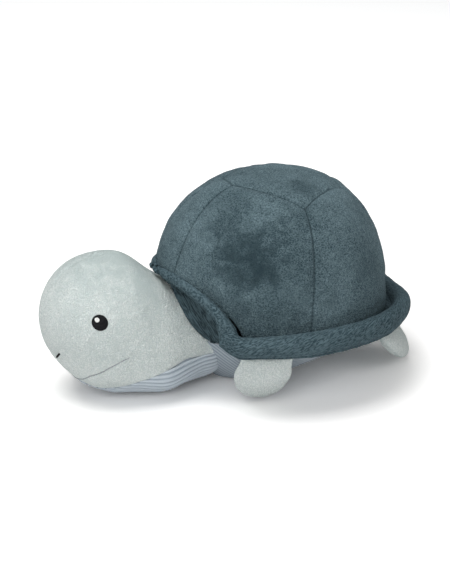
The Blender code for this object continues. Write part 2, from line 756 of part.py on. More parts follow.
def chin_panel(pivot):
    """Make the ribbed panel under the chin and throat."""
    slit = SEAM_GAP / HEAD_RADIUS / 2
    used = [row for row in head_rows() if chin_half_angle(row) > slit * 2]
    layers = []
    for lift in (0.0, -PILE_FABRIC):
        tip = head_point(used[0] - 1.0 / HEAD_ROWS, math.pi, lift)
        tip = tip.lerp(head_point(used[0], math.pi, lift), 0.5)
        rows = [[tip for _ in shares(CHIN_COLUMNS)]]
        for row in used:
            turns = head_turns(row)[1]
            turns[0] += slit
            turns[-1] -= slit
            rows.append([head_point(row, turn, lift) for turn in turns])
        layers.append(rows)
    add_piece("chin_panel", fabric_mesh(layers[0], layers[1]), RIB_COLOUR, pivot)


def head_filling(pivot, cutters):
    """Make the fibre inside the head and neck, hollowed for the neck's ball."""
    rows = []
    for row in head_rows()[1:]:
        cheek, chin = head_turns(row)
        ring = [*cheek, *chin[1:], *[math.tau - turn for turn in cheek[-2:0:-1]]]
        rows.append([head_point(row, turn, -PILE_FABRIC - FILL_GAP) for turn in ring])
    piece = add_piece("head_filling", filled_mesh(rows), FIBRE_COLOUR, pivot)
    cut_away(piece, cutters)


def neck_filling(pivot):
    """Make the fibre that the head turns on: a ball with a stem back to the body's filling."""
    turns = [math.tau * step / NECK_BALL_COLUMNS for step in range(NECK_BALL_COLUMNS)]
    rows = []
    for share in shares(NECK_BALL_ROWS)[:-1]:
        rows.append([NECK_PIVOT + NECK_BALL_RADIUS * turned(math.pi * share, turn) for turn in turns])
    end_slant = (math.pi - NECK_FRONT_ANGLE) / SOCKET_ROWS
    reach = (NECK_RADIUS + NECK_CLEARANCE) * math.cos(end_slant) - SEAM_GAP
    polar = math.pi - math.asin(NECK_STEM_RADIUS / reach)
    rows.append([NECK_PIVOT + reach * turned(polar, turn) for turn in turns])
    rows.append([NECK_PIVOT + reach * turned(math.pi, turn) for turn in turns])
    add_piece("neck_filling", filled_mesh(rows), FIBRE_COLOUR, pivot)


def neck_cutters():
    """Guide for the hollow that the neck's ball turns in, open to the rear."""
    hollow = make_cutter("guide_neck_hollow",
                         ball_mesh(NECK_PIVOT, NECK_BALL_RADIUS + BALL_CLEARANCE,
                                   HOLLOW_COLUMNS, HOLLOW_ROWS))
    return [hollow]


def surface_frame(row, turn, lift, hand):
    """Place on the head with its normal and the directions back and down along it."""
    step = 0.5 / HEAD_ROWS
    place = head_point(row, turn, lift)
    back = (head_point(row + step, turn, lift) - head_point(row - step, turn, lift)).normalized()
    down = (head_point(row, turn + step, lift) - head_point(row, turn - step, lift)).normalized()
    normal = down.cross(back).normalized()
    frame = [place, normal, back, down]
    for vector in frame:
        vector.x *= hand
    return frame


def disc_mesh(place, normal, first, second, radius, thickness):
    """Make a domed disc that rests on a surface."""
    bend = radius * radius / HEAD_RADIUS / 2
    mesh = bmesh.new()
    rows = []
    for share, rise in zip(DISC_REACH_SHARES, DISC_RISE_SHARES):
        ring = []
        for step in range(DISC_SIDES):
            turn = math.tau * step / DISC_SIDES
            arm = (first * math.cos(turn) + second * math.sin(turn)) * radius * share
            ring.append(place + arm + normal * (thickness * rise - bend * share * share))
        rows.append([mesh.verts.new(point) for point in ring])
    grid_faces(mesh, rows, True, False)
    return mesh


def face_details(pivot):
    """Make the embroidered eyes, nostrils and mouth."""
    for side, hand in (("left", 1.0), ("right", -1.0)):
        place, normal, back, down = surface_frame(EYE_ROW_SHARE, EYE_TURN, EYE_LIFT, hand)
        add_piece(f"{side}_eye", disc_mesh(place, normal, back, down, EYE_RADIUS, EYE_THICKNESS),
                  BLACK_THREAD, pivot)
        glint = place + normal * (EYE_THICKNESS + SEAM_GAP)
        glint -= down * HIGHLIGHT_RISE + back * HIGHLIGHT_FORWARD
        add_piece(f"{side}_eye_highlight",
                  disc_mesh(glint, normal, back, down, HIGHLIGHT_RADIUS, HIGHLIGHT_THICKNESS),
                  WHITE_THREAD, pivot)
        lift = SEAM_GAP + THREAD_RADIUS
        place, normal, back, down = surface_frame(NOSTRIL_ROW_SHARE, NOSTRIL_TURN, lift, hand)
        slant = (back * math.cos(NOSTRIL_SLANT) - down * math.sin(NOSTRIL_SLANT)) * NOSTRIL_LENGTH / 2
        add_piece(f"{side}_nostril", thread_mesh([place - slant, place, place + slant]),
                  BLACK_THREAD, pivot)
    route = [head_point(row, turn * math.pi, MOUTH_LIFT)
             for row, turn in zip(MOUTH_ROW_SHARES, MOUTH_TURN_SHARES)]
    mirrored = [Vector((-point.x, point.y, point.z)) for point in route[-2::-1]]
    add_piece("mouth_stitch", thread_mesh(smooth_route(route + mirrored, THREAD_STEPS)),
              GREY_THREAD, pivot)


def smooth_route(points, steps):
    """Round an open route with a smooth curve through its points."""
    closed = rounded([points[0] * 2.0 - points[1], *points, points[-1] * 2.0 - points[-2]], steps)
    return closed[steps:steps * len(points) + 1]


def thread_mesh(route):
    """Make a thread along a route, its ends drawn in."""
    rows = []
    for index, place in enumerate(route):
        before = route[max(0, index - 1)]
        after = route[min(len(route) - 1, index + 1)]
        along = (after - before).normalized()
        first = along.cross(Vector((0.0, 0.0, 1.0))).normalized()
        second = along.cross(first)
        rows.append([place + (first * math.cos(math.tau * step / THREAD_SIDES)
                              + second * math.sin(math.tau * step / THREAD_SIDES)) * THREAD_RADIUS
                     for step in range(THREAD_SIDES)])
    return filled_mesh(rows)


# Feet

def belly_reach(place, normal, width):
    """How far the edges between the belly's facets stand out past a place, under a foot's root."""
    low = math.floor(FOOT_ROOT_SHARE * BELLY_ROWS)
    share = FOOT_ROOT_SHARE * BELLY_ROWS - low
    arms = []
    for column in range(BODY_COLUMNS):
        turn = math.tau * column / BODY_COLUMNS
        edge = belly_point(turn, low / BELLY_ROWS, 0.0).lerp(belly_point(turn, (low + 1) / BELLY_ROWS, 0.0), share)
        arms.append(edge - place)
    return max(arm.dot(normal) for arm in arms if abs(arm.dot(width)) < FOOT_ROOT_HALF_WIDTH)


def foot_frame(hand, angle, slope, sweep, length):
    """Root, long direction, width direction, upper side and length of a foot."""
    step = PROBE_SHARE
    share = FOOT_ROOT_SHARE
    angle *= hand
    place = belly_point(angle, share, 0.0)
    outward = belly_point(angle, share + step, 0.0) - belly_point(angle, share - step, 0.0)
    across = belly_point(angle + step, share, 0.0) - belly_point(angle - step, share, 0.0)
    normal = outward.cross(across).normalized()
    if normal.z > 0.0:
        normal = -normal
    out = Vector((math.sin(angle), -math.cos(angle), 0.0))
    width = Vector((math.cos(angle), math.sin(angle), 0.0))
    root = place + normal * (belly_reach(place, normal, width) + FOOT_ROOT_RADIUS + SEAM_GAP)
    along = out * math.cos(slope) + Vector((0.0, 0.0, math.sin(slope)))
    along = (along + width * math.tan(sweep) * hand).normalized()
    upper = width.cross(along).normalized()
    if upper.dot(out) < 0.0:
        upper = -upper
    return root, along, width, upper, length


def foot_stations():
    """Shares along a foot: below zero round its root, above zero out to its tip."""
    root = [share - 1.0 for share in shares(FOOT_ROOT_ROWS)[:-1]]
    return root + [math.sin(math.pi / 2 * share) for share in shares(FOOT_ROWS)]


def foot_ring(frame, share, turns, depth):
    """Points round a foot at a share of its length, or round its root."""
    root, along, width, upper, length = frame
    if share < 0.0:
        turn_back = math.pi / 2 * share
        distance = (FOOT_ROOT_RADIUS - depth) * math.sin(turn_back)
        thick = (FOOT_ROOT_RADIUS - depth) * math.cos(turn_back)
        half_width = FOOT_ROOT_HALF_WIDTH - depth
    else:
        taper = (1.0 - share ** FOOT_TIP_POWER) ** FOOT_TIP_ROUND
        distance = (length - depth) * share
        thick = (blend(FOOT_ROOT_RADIUS, FOOT_HALF_THICKNESS, ease(share * FOOT_SWELL)) - depth) * taper
        half_width = (blend(FOOT_ROOT_HALF_WIDTH, FOOT_HALF_WIDTH, ease(share * FOOT_SWELL)) - depth) * taper
    return [root + along * distance + width * half_width * math.cos(turn)
            + upper * thick * math.sin(turn) for turn in turns]


def foot(name, hand, angle, slope, sweep, length):
    """Make one foot: upper panel, under panel and filling."""
    frame = foot_frame(hand, angle, slope, sweep, length)
    pivot = add_pivot(f"{name}_hinge", frame[0])
    half = FOOT_COLUMNS // 2
    stations = foot_stations()
    for part, start in (("upper", 0.0), ("under", math.pi)):
        turns = spread(start, start + math.pi, half)
        apart = frame[3] * math.cos(start) * SEAM_GAP / 2
        layers = [[[point + apart for point in foot_ring(frame, share, turns, depth)]
                   for share in stations] for depth in (0.0, FOOT_FABRIC)]
        add_piece(f"{name}_{part}_panel", fabric_mesh(layers[0], layers[1]), SKIN_COLOUR, pivot)
    whole = [math.tau * step / FOOT_COLUMNS for step in range(FOOT_COLUMNS)]
    rows = [foot_ring(frame, share, whole, FOOT_FABRIC + FILL_GAP) for share in stations[1:]]
    add_piece(f"{name}_filling", filled_mesh(rows), FIBRE_COLOUR, pivot)


def build():
    """Make the whole turtle."""
    clear_scene()
    opening, socket = arch_cutters()
    crown_panel()
    shell_panels([opening, socket])
    belly_panel([opening, socket])
    body_filling([opening, socket])
    for side, start, end in (("left", CORNER_ANGLE, math.pi),
                             ("right", math.pi, math.tau - CORNER_ANGLE)):
        brim_side(side, start, end)
    brim_front()
    head_pivot = add_pivot("head_pivot", NECK_PIVOT)
    neck_pivot = add_pivot("neck_pivot", NECK_PIVOT)
    for side, hand in (("left", 1.0), ("right", -1.0)):
        head_side_panel(side, hand, head_pivot)
    chin_panel(head_pivot)
    head_filling(head_pivot, neck_cutters())
    neck_filling(neck_pivot)
    face_details(head_pivot)
    for side, hand in (("left", 1.0), ("right", -1.0)):
        foot(f"front_{side}_foot", hand, FRONT_FOOT_ANGLE, FRONT_FOOT_SLOPE, FRONT_FOOT_SWEEP, FRONT_FOOT_LENGTH)
        foot(f"rear_{side}_foot", hand, REAR_FOOT_ANGLE, REAR_FOOT_SLOPE, REAR_FOOT_SWEEP, REAR_FOOT_LENGTH)


build()
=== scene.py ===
"""The looks of a plush turtle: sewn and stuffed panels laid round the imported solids."""

import json
import logging
import math
from dataclasses import asdict, dataclass, field
from enum import Enum
from typing import Callable, Optional, Sequence, Union

import bpy
import numpy as np
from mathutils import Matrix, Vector, noise
from mathutils.bvhtree import BVHTree

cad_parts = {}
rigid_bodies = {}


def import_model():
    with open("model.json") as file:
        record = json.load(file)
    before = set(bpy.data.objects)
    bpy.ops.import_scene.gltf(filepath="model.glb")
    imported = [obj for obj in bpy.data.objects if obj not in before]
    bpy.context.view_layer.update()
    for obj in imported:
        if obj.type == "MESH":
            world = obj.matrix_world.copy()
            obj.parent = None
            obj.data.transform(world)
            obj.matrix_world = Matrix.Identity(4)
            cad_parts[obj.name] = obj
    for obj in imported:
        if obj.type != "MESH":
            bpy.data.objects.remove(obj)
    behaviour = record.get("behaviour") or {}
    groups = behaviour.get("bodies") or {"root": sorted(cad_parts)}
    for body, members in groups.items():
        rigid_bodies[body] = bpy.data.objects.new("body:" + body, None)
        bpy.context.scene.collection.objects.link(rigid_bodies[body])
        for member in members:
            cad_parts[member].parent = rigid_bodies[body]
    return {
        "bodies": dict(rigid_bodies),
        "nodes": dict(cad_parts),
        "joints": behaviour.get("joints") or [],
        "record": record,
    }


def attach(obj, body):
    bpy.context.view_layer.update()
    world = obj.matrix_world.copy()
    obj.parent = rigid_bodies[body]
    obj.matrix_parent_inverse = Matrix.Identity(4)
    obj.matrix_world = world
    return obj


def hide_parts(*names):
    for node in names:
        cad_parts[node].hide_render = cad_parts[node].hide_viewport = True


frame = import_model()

MM = 0.001
RIB_PITCH = 4.0 * MM
# Gloss of the fibres, where bare plastic has 0.5
FIBRE_GLOSS = 0.15
# How often a search for a place on a form halves its range
HALVINGS = 14
# Marks: place in millimetres from the middle of the shell's rim, size in millimetres, and depth. The shell's
# are pile brushed the other way; the head's are painted shade over its top and upper sides
SHELL_MARKS = (((29, -43, 142), 26, 0.35), ((45, -51, 128), 28, 0.40), ((61, -40, 121), 34, 0.50),
               ((62, -47, 108), 30, 0.40), ((71, -29, 113), 26, 0.35), ((30, 12, 149), 24, 0.55),
               ((56, 2, 139), 16, 0.35), ((72, -35, 104), 16, 0.35), ((41, 50, 133), 18, 0.30),
               ((65, 50, 100), 26, 0.30), ((80, -30, 100), 70, 0.35))
# Painted shade: darker patches over the head's top and upper sides
SKIN_SHADE_MARKS = (((0, -118, 112), 66, 0.90), ((24, -100, 92), 34, 0.40), ((25, -150, 80), 52, 0.25))

# Places from the middle of the shell's rim on the floor
PIVOT_TO_MIDDLE = 66.0 * MM
HEAD_PLACE = (0.0, -127.0 * MM, 59.0 * MM)
PICTURE_MIDDLE = (-5.9 * MM, -33.6 * MM, 69.6 * MM)

# Slope and sweep in degrees, length and half width of the feet
FEET = {"front": (-117.0, -9.0, 41.0 * MM, 21.0 * MM), "rear": (-60.0, 32.0, 48.0 * MM, 24.0 * MM)}

Colour = tuple[float, float, float]
Place = Callable[[float, float], Vector]
log = logging.getLogger("turtle")


class Body(Enum):
    """The moving bodies that pieces ride on."""

    SHELL = "body"
    NECK = "neck"
    HEAD = "head"


class Slot(Enum):
    """The record's material slots."""

    SHELL = "shell_plush"
    SKIN = "skin_velour"
    RIBBED = "ribbed_plush"
    FIBRE = "fibre_filling"
    BLACK = "black_thread"
    WHITE = "white_thread"
    GREY = "grey_thread"


class Side(Enum):
    """The turtle's own sides, with the sign of their X."""

    LEFT = 1.0
    RIGHT = -1.0

    @property
    def word(self) -> str:
        """Name of the side as the nodes spell it."""
        return self.name.lower()


def blend(start: float, end: float, share: float) -> float:
    """Go from start to end by a share between 0 and 1."""
    return start + (end - start) * share


def ease(share: float) -> float:
    """Turn a share into a smooth step between 0 and 1."""
    held = min(1.0, max(0.0, share))
    return held * held * (3.0 - 2.0 * held)


def bell(value: float) -> float:
    """Rise smoothly from 0 at minus 1 to 1 at nought and back to 0 at 1."""
    return max(0.0, 1.0 - value * value) ** 2


def turned(polar: float, turn: float) -> Vector:
    """Direction at a polar angle from the front, turned from the top to the left."""
    across = math.sin(polar)
    return Vector((across * math.sin(turn), -math.cos(polar), across * math.cos(turn)))


def wrapped(angle: float) -> float:
    """Bring an angle between minus and plus half a turn."""
    return (angle + math.pi) % math.tau - math.pi


# Shader graphs


class Sock:
    """A socket of a shader graph, on which sums are written as in Python."""

    def __init__(self, graph: "Graph", socket: Optional[bpy.types.NodeSocket]) -> None:
        """Keep the socket and the graph that holds it."""
        self.graph = graph
        self.socket = socket

    def _sum(self, operation: str, first: "Value", second: "Value") -> "Sock":
        """Add a Math node with an operation on two values."""
        return self.graph.node("ShaderNodeMath", {"operation": operation}, {0: first, 1: second})

    def __add__(self, other: "Value") -> "Sock":
        """Add a value."""
        return self._sum("ADD", self, other)

    def __radd__(self, other: "Value") -> "Sock":
        """Be added to a value."""
        return self._sum("ADD", other, self)

    def __sub__(self, other: "Value") -> "Sock":
        """Take a value away."""
        return self._sum("SUBTRACT", self, other)

    def __rsub__(self, other: "Value") -> "Sock":
        """Be taken away from a value."""
        return self._sum("SUBTRACT", other, self)

    def __mul__(self, other: "Value") -> "Sock":
        """Multiply by a value."""
        return self._sum("MULTIPLY", self, other)


Value = Union[float, Sequence[float], Sock]


class Graph:
    """The shader graph of a material or a world, built node by node."""

    def __init__(self, owner: Union[bpy.types.Material, bpy.types.World]) -> None:
        """Start an empty graph.

        Args:
            owner: The new material or world that it belongs to.
        """
        self.owner = owner
        owner.use_nodes = True
        self.tree = owner.node_tree
        self.tree.nodes.clear()

    def node(self, kind: str, settings: Optional[dict] = None, sockets: Optional[dict] = None,
             output: Union[int, str] = 0) -> Sock:
        """Add a node.

        Args:
            kind: The node's type.
            settings: Its own settings.
            sockets: Values or links of its inputs, by name or number.
            output: The output that is wanted.

        Returns:
            The output's socket.
        """
        made = self.tree.nodes.new(kind)
        for key, value in (settings or {}).items():
            setattr(made, key, value)
        for key, value in (sockets or {}).items():
            if isinstance(value, Sock):
                self.tree.links.new(value.socket, made.inputs[key])
            else:
                made.inputs[key].default_value = value
        return Sock(self, made.outputs[output] if len(made.outputs) else None)

    def coordinates(self, turn: Sequence[float] = (0.0, 0.0, 0.0),
                    scale: Sequence[float] = (1.0, 1.0, 1.0)) -> Sock:
        """Give the piece's own coordinates, turned and scaled."""
        place = self.node("ShaderNodeTexCoord", output="Object")
        return self.node("ShaderNodeMapping", sockets={"Vector": place, "Rotation": turn, "Scale": scale})

    def fabric(self, lay: float, scale: Sequence[float]) -> Sock:
        """Give the places along and across the cut fabric.

        Args:
            lay: Angle of the strands to the fabric.
            scale: Scale along and across the strands.

        Returns:
            The places, turned to the strands and scaled.
        """
        place = self.node("ShaderNodeUVMap", {"uv_map": "UVMap"})
        laid = self.node("ShaderNodeMapping", sockets={"Vector": place, "Rotation": (0.0, 0.0, lay)})
        return self.node("ShaderNodeMapping", sockets={"Vector": laid, "Scale": scale})

    def map_part(self, name: str, axis: str) -> Sock:
        """Give one coordinate of a UV map."""
        place = self.node("ShaderNodeUVMap", {"uv_map": name})
        return self.node("ShaderNodeSeparateXYZ", sockets={"Vector": place}, output=axis)

    def noise(self, place: Sock, size: float, detail: float, rough: float = 0.5, warp: float = 0.0) -> Sock:
        """Add noise with features of a size in metres."""
        return self.node("ShaderNodeTexNoise", sockets={
            "Vector": place, "Scale": 1.0 / size, "Detail": detail, "Roughness": rough, "Distortion": warp})

    def swing(self, kind: str, angle: Sock) -> Sock:
        """Give the sine or cosine of an angle."""
        return self.node("ShaderNodeMath", {"operation": kind}, {0: angle})

    def distance(self, place: Sock, middle: Sequence[float]) -> Sock:
        """Give how far a place is from a middle."""
        return self.node("ShaderNodeVectorMath", {"operation": "DISTANCE"}, {0: place, 1: middle}, "Value")

    def stepped(self, value: Sock, low: float, high: float) -> Sock:
        """Spread a value between two limits to the range from 0 to 1, softly."""
        return self.node("ShaderNodeMapRange", {"interpolation_type": "SMOOTHSTEP"},
                         {"Value": value, "From Min": low, "From Max": high})

    def mixed(self, share: Value, first: Colour, second: Colour) -> Sock:
        """Mix two colours by a share of the second."""
        colours = {0: share, 6: (*first, 1.0), 7: (*second, 1.0)}
        return self.node("ShaderNodeMix", {"data_type": "RGBA"}, colours, 2)

    def bump(self, height: Sock, strength: float, distance: float) -> Sock:
        """Raise the surface by a height."""
        return self.node("ShaderNodeBump", sockets={
            "Height": height, "Strength": strength, "Distance": distance})

    def finish(self, colour: Sock, normal: Sock, roughness: float, sheen: float = 0.0,
               sheen_roughness: float = 0.5, sheen_tint: Colour = (1.0, 1.0, 1.0)) -> bpy.types.Material:
        """Close the graph with its surface shader.

        Args:
            colour: Base colour.
            normal: Bumped normal.
            roughness: Roughness.
            sheen: Weight of the fibres' sheen.
            sheen_roughness: Roughness of the sheen.
            sheen_tint: Colour of the sheen.

        Returns:
            The material.
        """
        surface = self.node("ShaderNodeBsdfPrincipled", sockets={
            "Base Color": colour, "Roughness": roughness, "Specular IOR Level": FIBRE_GLOSS,
            "Sheen Weight": sheen, "Sheen Roughness": sheen_roughness, "Sheen Tint": (*sheen_tint, 1.0),
            "Normal": normal})
        self.node("ShaderNodeOutputMaterial", sockets={"Surface": surface})
        return self.owner


@dataclass(frozen=True)
class PileFinish:
    """Short pile fabric whose nap is brushed in patches, with painted shade along its stitched seams."""

    name: str
    deep: Colour
    light: Colour
    stretch: tuple[float, float, float] = (1.0, 0.6, 1.0)
    patch_size: float = 42.0 * MM
    patch_step: tuple[float, float] = (0.30, 0.70)
    clump_size: float = 6.0 * MM
    clump_step: tuple[float, float] = (0.28, 0.72)
    grain_size: float = 1.5 * MM
    patch_share: float = 0.30
    clump_share: float = 0.22
    grain_share: float = 0.50
    clump_height: float = 0.35
    grain_height: float = 0.65
    relief: float = 1.0 * MM
    relief_strength: float = 0.9
    seam_depth: float = 0.75
    seam_width: float = 1.6 * MM
    stitch: float = 2.8 * MM
    stitch_share: float = 0.25
    roughness: float = 0.92
    sheen: float = 0.25
    sheen_roughness: float = 0.45
    contrast: float = 0.18
    strand_lay: Optional[float] = None
    smudges: tuple[tuple[Colour, float, float], ...] = ()
    smudge_raggedness: float = 1.5
    smudge_step: tuple[float, float] = (0.05, 0.95)
    wander_size: float = 11.0 * MM

    def build(self) -> bpy.types.Material:
        """Make the material.

        Returns:
            The material.
        """
        graph = Graph(bpy.data.materials.new(self.name))
        plain = graph.coordinates()
        if self.strand_lay is None:
            brushed = graph.coordinates(scale=self.stretch)
        else:
            brushed = graph.fabric(self.strand_lay, self.stretch)
        patches = graph.noise(brushed, self.patch_size, detail=2.0, rough=0.5, warp=0.3)
        patches = graph.stepped(patches, *self.patch_step)
        clumps = graph.noise(brushed, self.clump_size, detail=2.0, rough=0.55, warp=0.5)
        clumps = graph.stepped(clumps, *self.clump_step)
        grain = graph.noise(brushed, self.grain_size, detail=1.5, rough=0.6, warp=0.6)
        grain = graph.stepped(grain, 0.5 - self.contrast, 0.5 + self.contrast)
        shade = patches * self.patch_share + clumps * self.clump_share + grain * self.grain_share
        # The marks darken the tone, brushed nap on the shell and painted shade on the head, and the seams add
        # painted shade
        shade = self.smudged(graph, plain, shade) * (1.0 - self.seam(graph) * self.seam_depth)
        colour = graph.mixed(shade, self.deep, self.light)
        height = clumps * self.clump_height + grain * self.grain_height
        normal = graph.bump(height, self.relief_strength, self.relief)
        return graph.finish(colour, normal, self.roughness, self.sheen, self.sheen_roughness, self.light)

    def smudged(self, graph: Graph, plain: Sock, shade: Sock) -> Sock:
        """Darken the shade at the marks: brushed nap on the shell, painted shade over the head's top.

        Args:
            graph: The graph.
            plain: The piece's own coordinates.
            shade: The shade of the evenly brushed pile.

        Returns:
            The shade with the marks in it.
        """
        wander = graph.noise(plain, self.wander_size, detail=3.0, rough=0.55, warp=0.8)
        near, far = self.smudge_step
        for place, size, depth in self.smudges:
            ragged = graph.distance(plain, place) + (wander - 0.5) * (size * self.smudge_raggedness)
            shade = shade * (1.0 - (1.0 - graph.stepped(ragged, size * near, size * far)) * depth)
        return shade

    def seam(self, graph: Graph) -> Sock:
        """Strength of the seam's shadow, deeper at each stitch.

        Args:
            graph: The graph.

        Returns:
            The strength, from 0 to 1.
        """
        # Painted shade along the seams: darker the nearer a seam is, deeper at each stitch.
        line = 1.0 - graph.stepped(graph.map_part("seam", "X"), 0.0, self.seam_width)
        dash = graph.swing("SINE", graph.map_part("seam", "Y") * (math.tau / self.stitch))
        return line * (1.0 - self.stitch_share + dash * self.stitch_share)


@dataclass(frozen=True)
class RibFinish:
    """Ribbed pile fabric: soft ridges, with the valleys between them painted darker as shade."""

    name: str
    deep: Colour
    light: Colour
    pitch: float = RIB_PITCH
    ridge_step: tuple[float, float] = (0.02, 0.6)
    grain_size: float = 0.9 * MM
    patch_size: float = 18.0 * MM
    ridge_share: float = 0.62
    grain_share: float = 0.3
    patch_share: float = 0.2
    ridge_height: float = 0.7
    grain_height: float = 0.3
    relief: float = 0.7 * MM
    relief_strength: float = 0.7
    roughness: float = 0.92
    sheen: float = 0.2
    sheen_roughness: float = 0.45

    def build(self) -> bpy.types.Material:
        """Make the material.

        Returns:
            The material.
        """
        graph = Graph(bpy.data.materials.new(self.name))
        wave = graph.swing("COSINE", graph.map_part("UVMap", "X") * (math.tau / self.pitch))
        # The valleys between the ribs are painted darker as shade
        ridge = graph.stepped(wave * 0.5 + 0.5, *self.ridge_step)
        grain = graph.noise(graph.coordinates(), self.grain_size, detail=2.0, rough=0.6)
        patches = graph.noise(graph.coordinates(), self.patch_size, detail=2.0)
        shade = ridge * self.ridge_share + grain * self.grain_share + patches * self.patch_share
        colour = graph.mixed(shade, self.deep, self.light)
        height = grain * self.grain_height + ridge * self.ridge_height
        normal = graph.bump(height, self.relief_strength, self.relief)
        return graph.finish(colour, normal, self.roughness, self.sheen, self.sheen_roughness, self.light)


@dataclass(frozen=True)
class ThreadFinish:
    """Embroidery thread laid in close parallel stitches."""

    name: str
    deep: Colour
    light: Colour
    lay: tuple[float, float, float] = (0.6, 0.3, 0.5)
    pitch: float = 0.55 * MM
    wave_scale: float = 0.3
    wave_warp: float = 0.6
    grain_size: float = 0.4 * MM
    wave_share: float = 0.6
    grain_share: float = 0.4
    relief: float = 0.15 * MM
    relief_strength: float = 0.6
    roughness: float = 0.55

    def build(self) -> bpy.types.Material:
        """Make the material.

        Returns:
            The material.
        """
        graph = Graph(bpy.data.materials.new(self.name))
        place = graph.coordinates(turn=self.lay)
        wave = graph.node("ShaderNodeTexWave", {"wave_type": "BANDS"}, {
            "Vector": place, "Scale": self.wave_scale / self.pitch, "Distortion": self.wave_warp}, "Fac")
        grain = graph.noise(place, self.grain_size, detail=2.0)
        colour = graph.mixed(wave * self.wave_share + grain * self.grain_share, self.deep, self.light)
        normal = graph.bump(wave, self.relief_strength, self.relief)
        return graph.finish(colour, normal, self.roughness)


# Forms that the panels are laid on


@dataclass(frozen=True)
class ShellForm:
    """The dome of the shell, from its crown to its rim."""

    middle: Vector
    half_width: float = 86.0 * MM
    half_length: float = 89.0 * MM
    height: float = 101.0 * MM
    rim_height: float = 51.0 * MM
    roundness: float = 2.7
    crown_front_half: float = 11.5 * MM
    crown_front_reach: float = 34.0 * MM
    crown_side_reach: float = 52.0 * MM
    crown_side_back: float = 5.0 * MM
    crown_rear_half: float = 16.0 * MM
    crown_rear_reach: float = 50.0 * MM
    brow: float = 4.5 * MM
    brow_rho: float = 0.52
    brow_spread: float = 0.40
    front_spread: float = math.radians(80.0)
    slack: tuple[tuple[float, ...], ...] = ((-35.0, 60.0, 0.66, 0.45, 6.5), (160.0, 60.0, 0.80, 0.35, 4.0))

    def sag(self, angle: float, rho: float) -> float:
        """How far the loose places of the dome have sunk in."""
        return sum(depth * MM * bell(wrapped(angle - math.radians(turn)) / math.radians(spread))
                   * bell((rho - middle) / reach) for turn, spread, middle, reach, depth in self.slack)

    def point(self, angle: float, rho: float) -> Vector:
        """Place on the dome, rho from 0 at the crown to 1 at the rim.

        Args:
            angle: Angle round the shell, from 0 at the front towards the left.
            rho: From 0 at the crown to 1 at the rim.

        Returns:
            The place.
        """
        rise = (1.0 - min(rho, 1.0) ** self.roundness) ** (1.0 / self.roundness)
        out = Vector((math.sin(angle), -math.cos(angle), 0.0))
        front = bell(wrapped(angle) / self.front_spread)
        brow = self.brow * front * bell((rho - self.brow_rho) / self.brow_spread) - self.sag(angle, rho)
        place = Vector((self.half_width * rho * out.x, self.half_length * rho * out.y,
                        self.rim_height + self.height * rise))
        steep = rho ** 2
        return self.middle + place + out * brow * steep + Vector((0.0, 0.0, brow * (1.0 - steep)))

    def row_to_rho(self, row: float) -> float:
        """Spread rows evenly along the dome's curve."""
        return math.sin(math.pi / 2 * row) ** (2.0 / self.roundness)

    def rho_to_row(self, rho: float) -> float:
        """Row at which the dome reaches rho."""
        return math.asin(min(1.0, rho ** (self.roundness / 2.0))) / (math.pi / 2)

    def corners(self) -> list[Vector]:
        """Six corners of the crown panel in plan, anticlockwise from the front right.

        Returns:
            The corners.
        """
        front, reach = self.crown_front_half, self.crown_front_reach
        rear, far = self.crown_rear_half, self.crown_rear_reach
        side, back = self.crown_side_reach, self.crown_side_back
        plan = [(-front, -reach), (front, -reach), (side, back), (rear, far), (-rear, far), (-side, back)]
        return [Vector((x, y, 0.0)) for x, y in plan]

    def crown_place(self, corner: Vector) -> tuple[float, float]:
        """Angle and rho of a place on the crown that is given in plan.

        Args:
            corner: The place in plan.

        Returns:
            The angle and rho.
        """
        across = corner.x / self.half_width
        along = -corner.y / self.half_length
        return math.atan2(across, along), math.hypot(across, along)


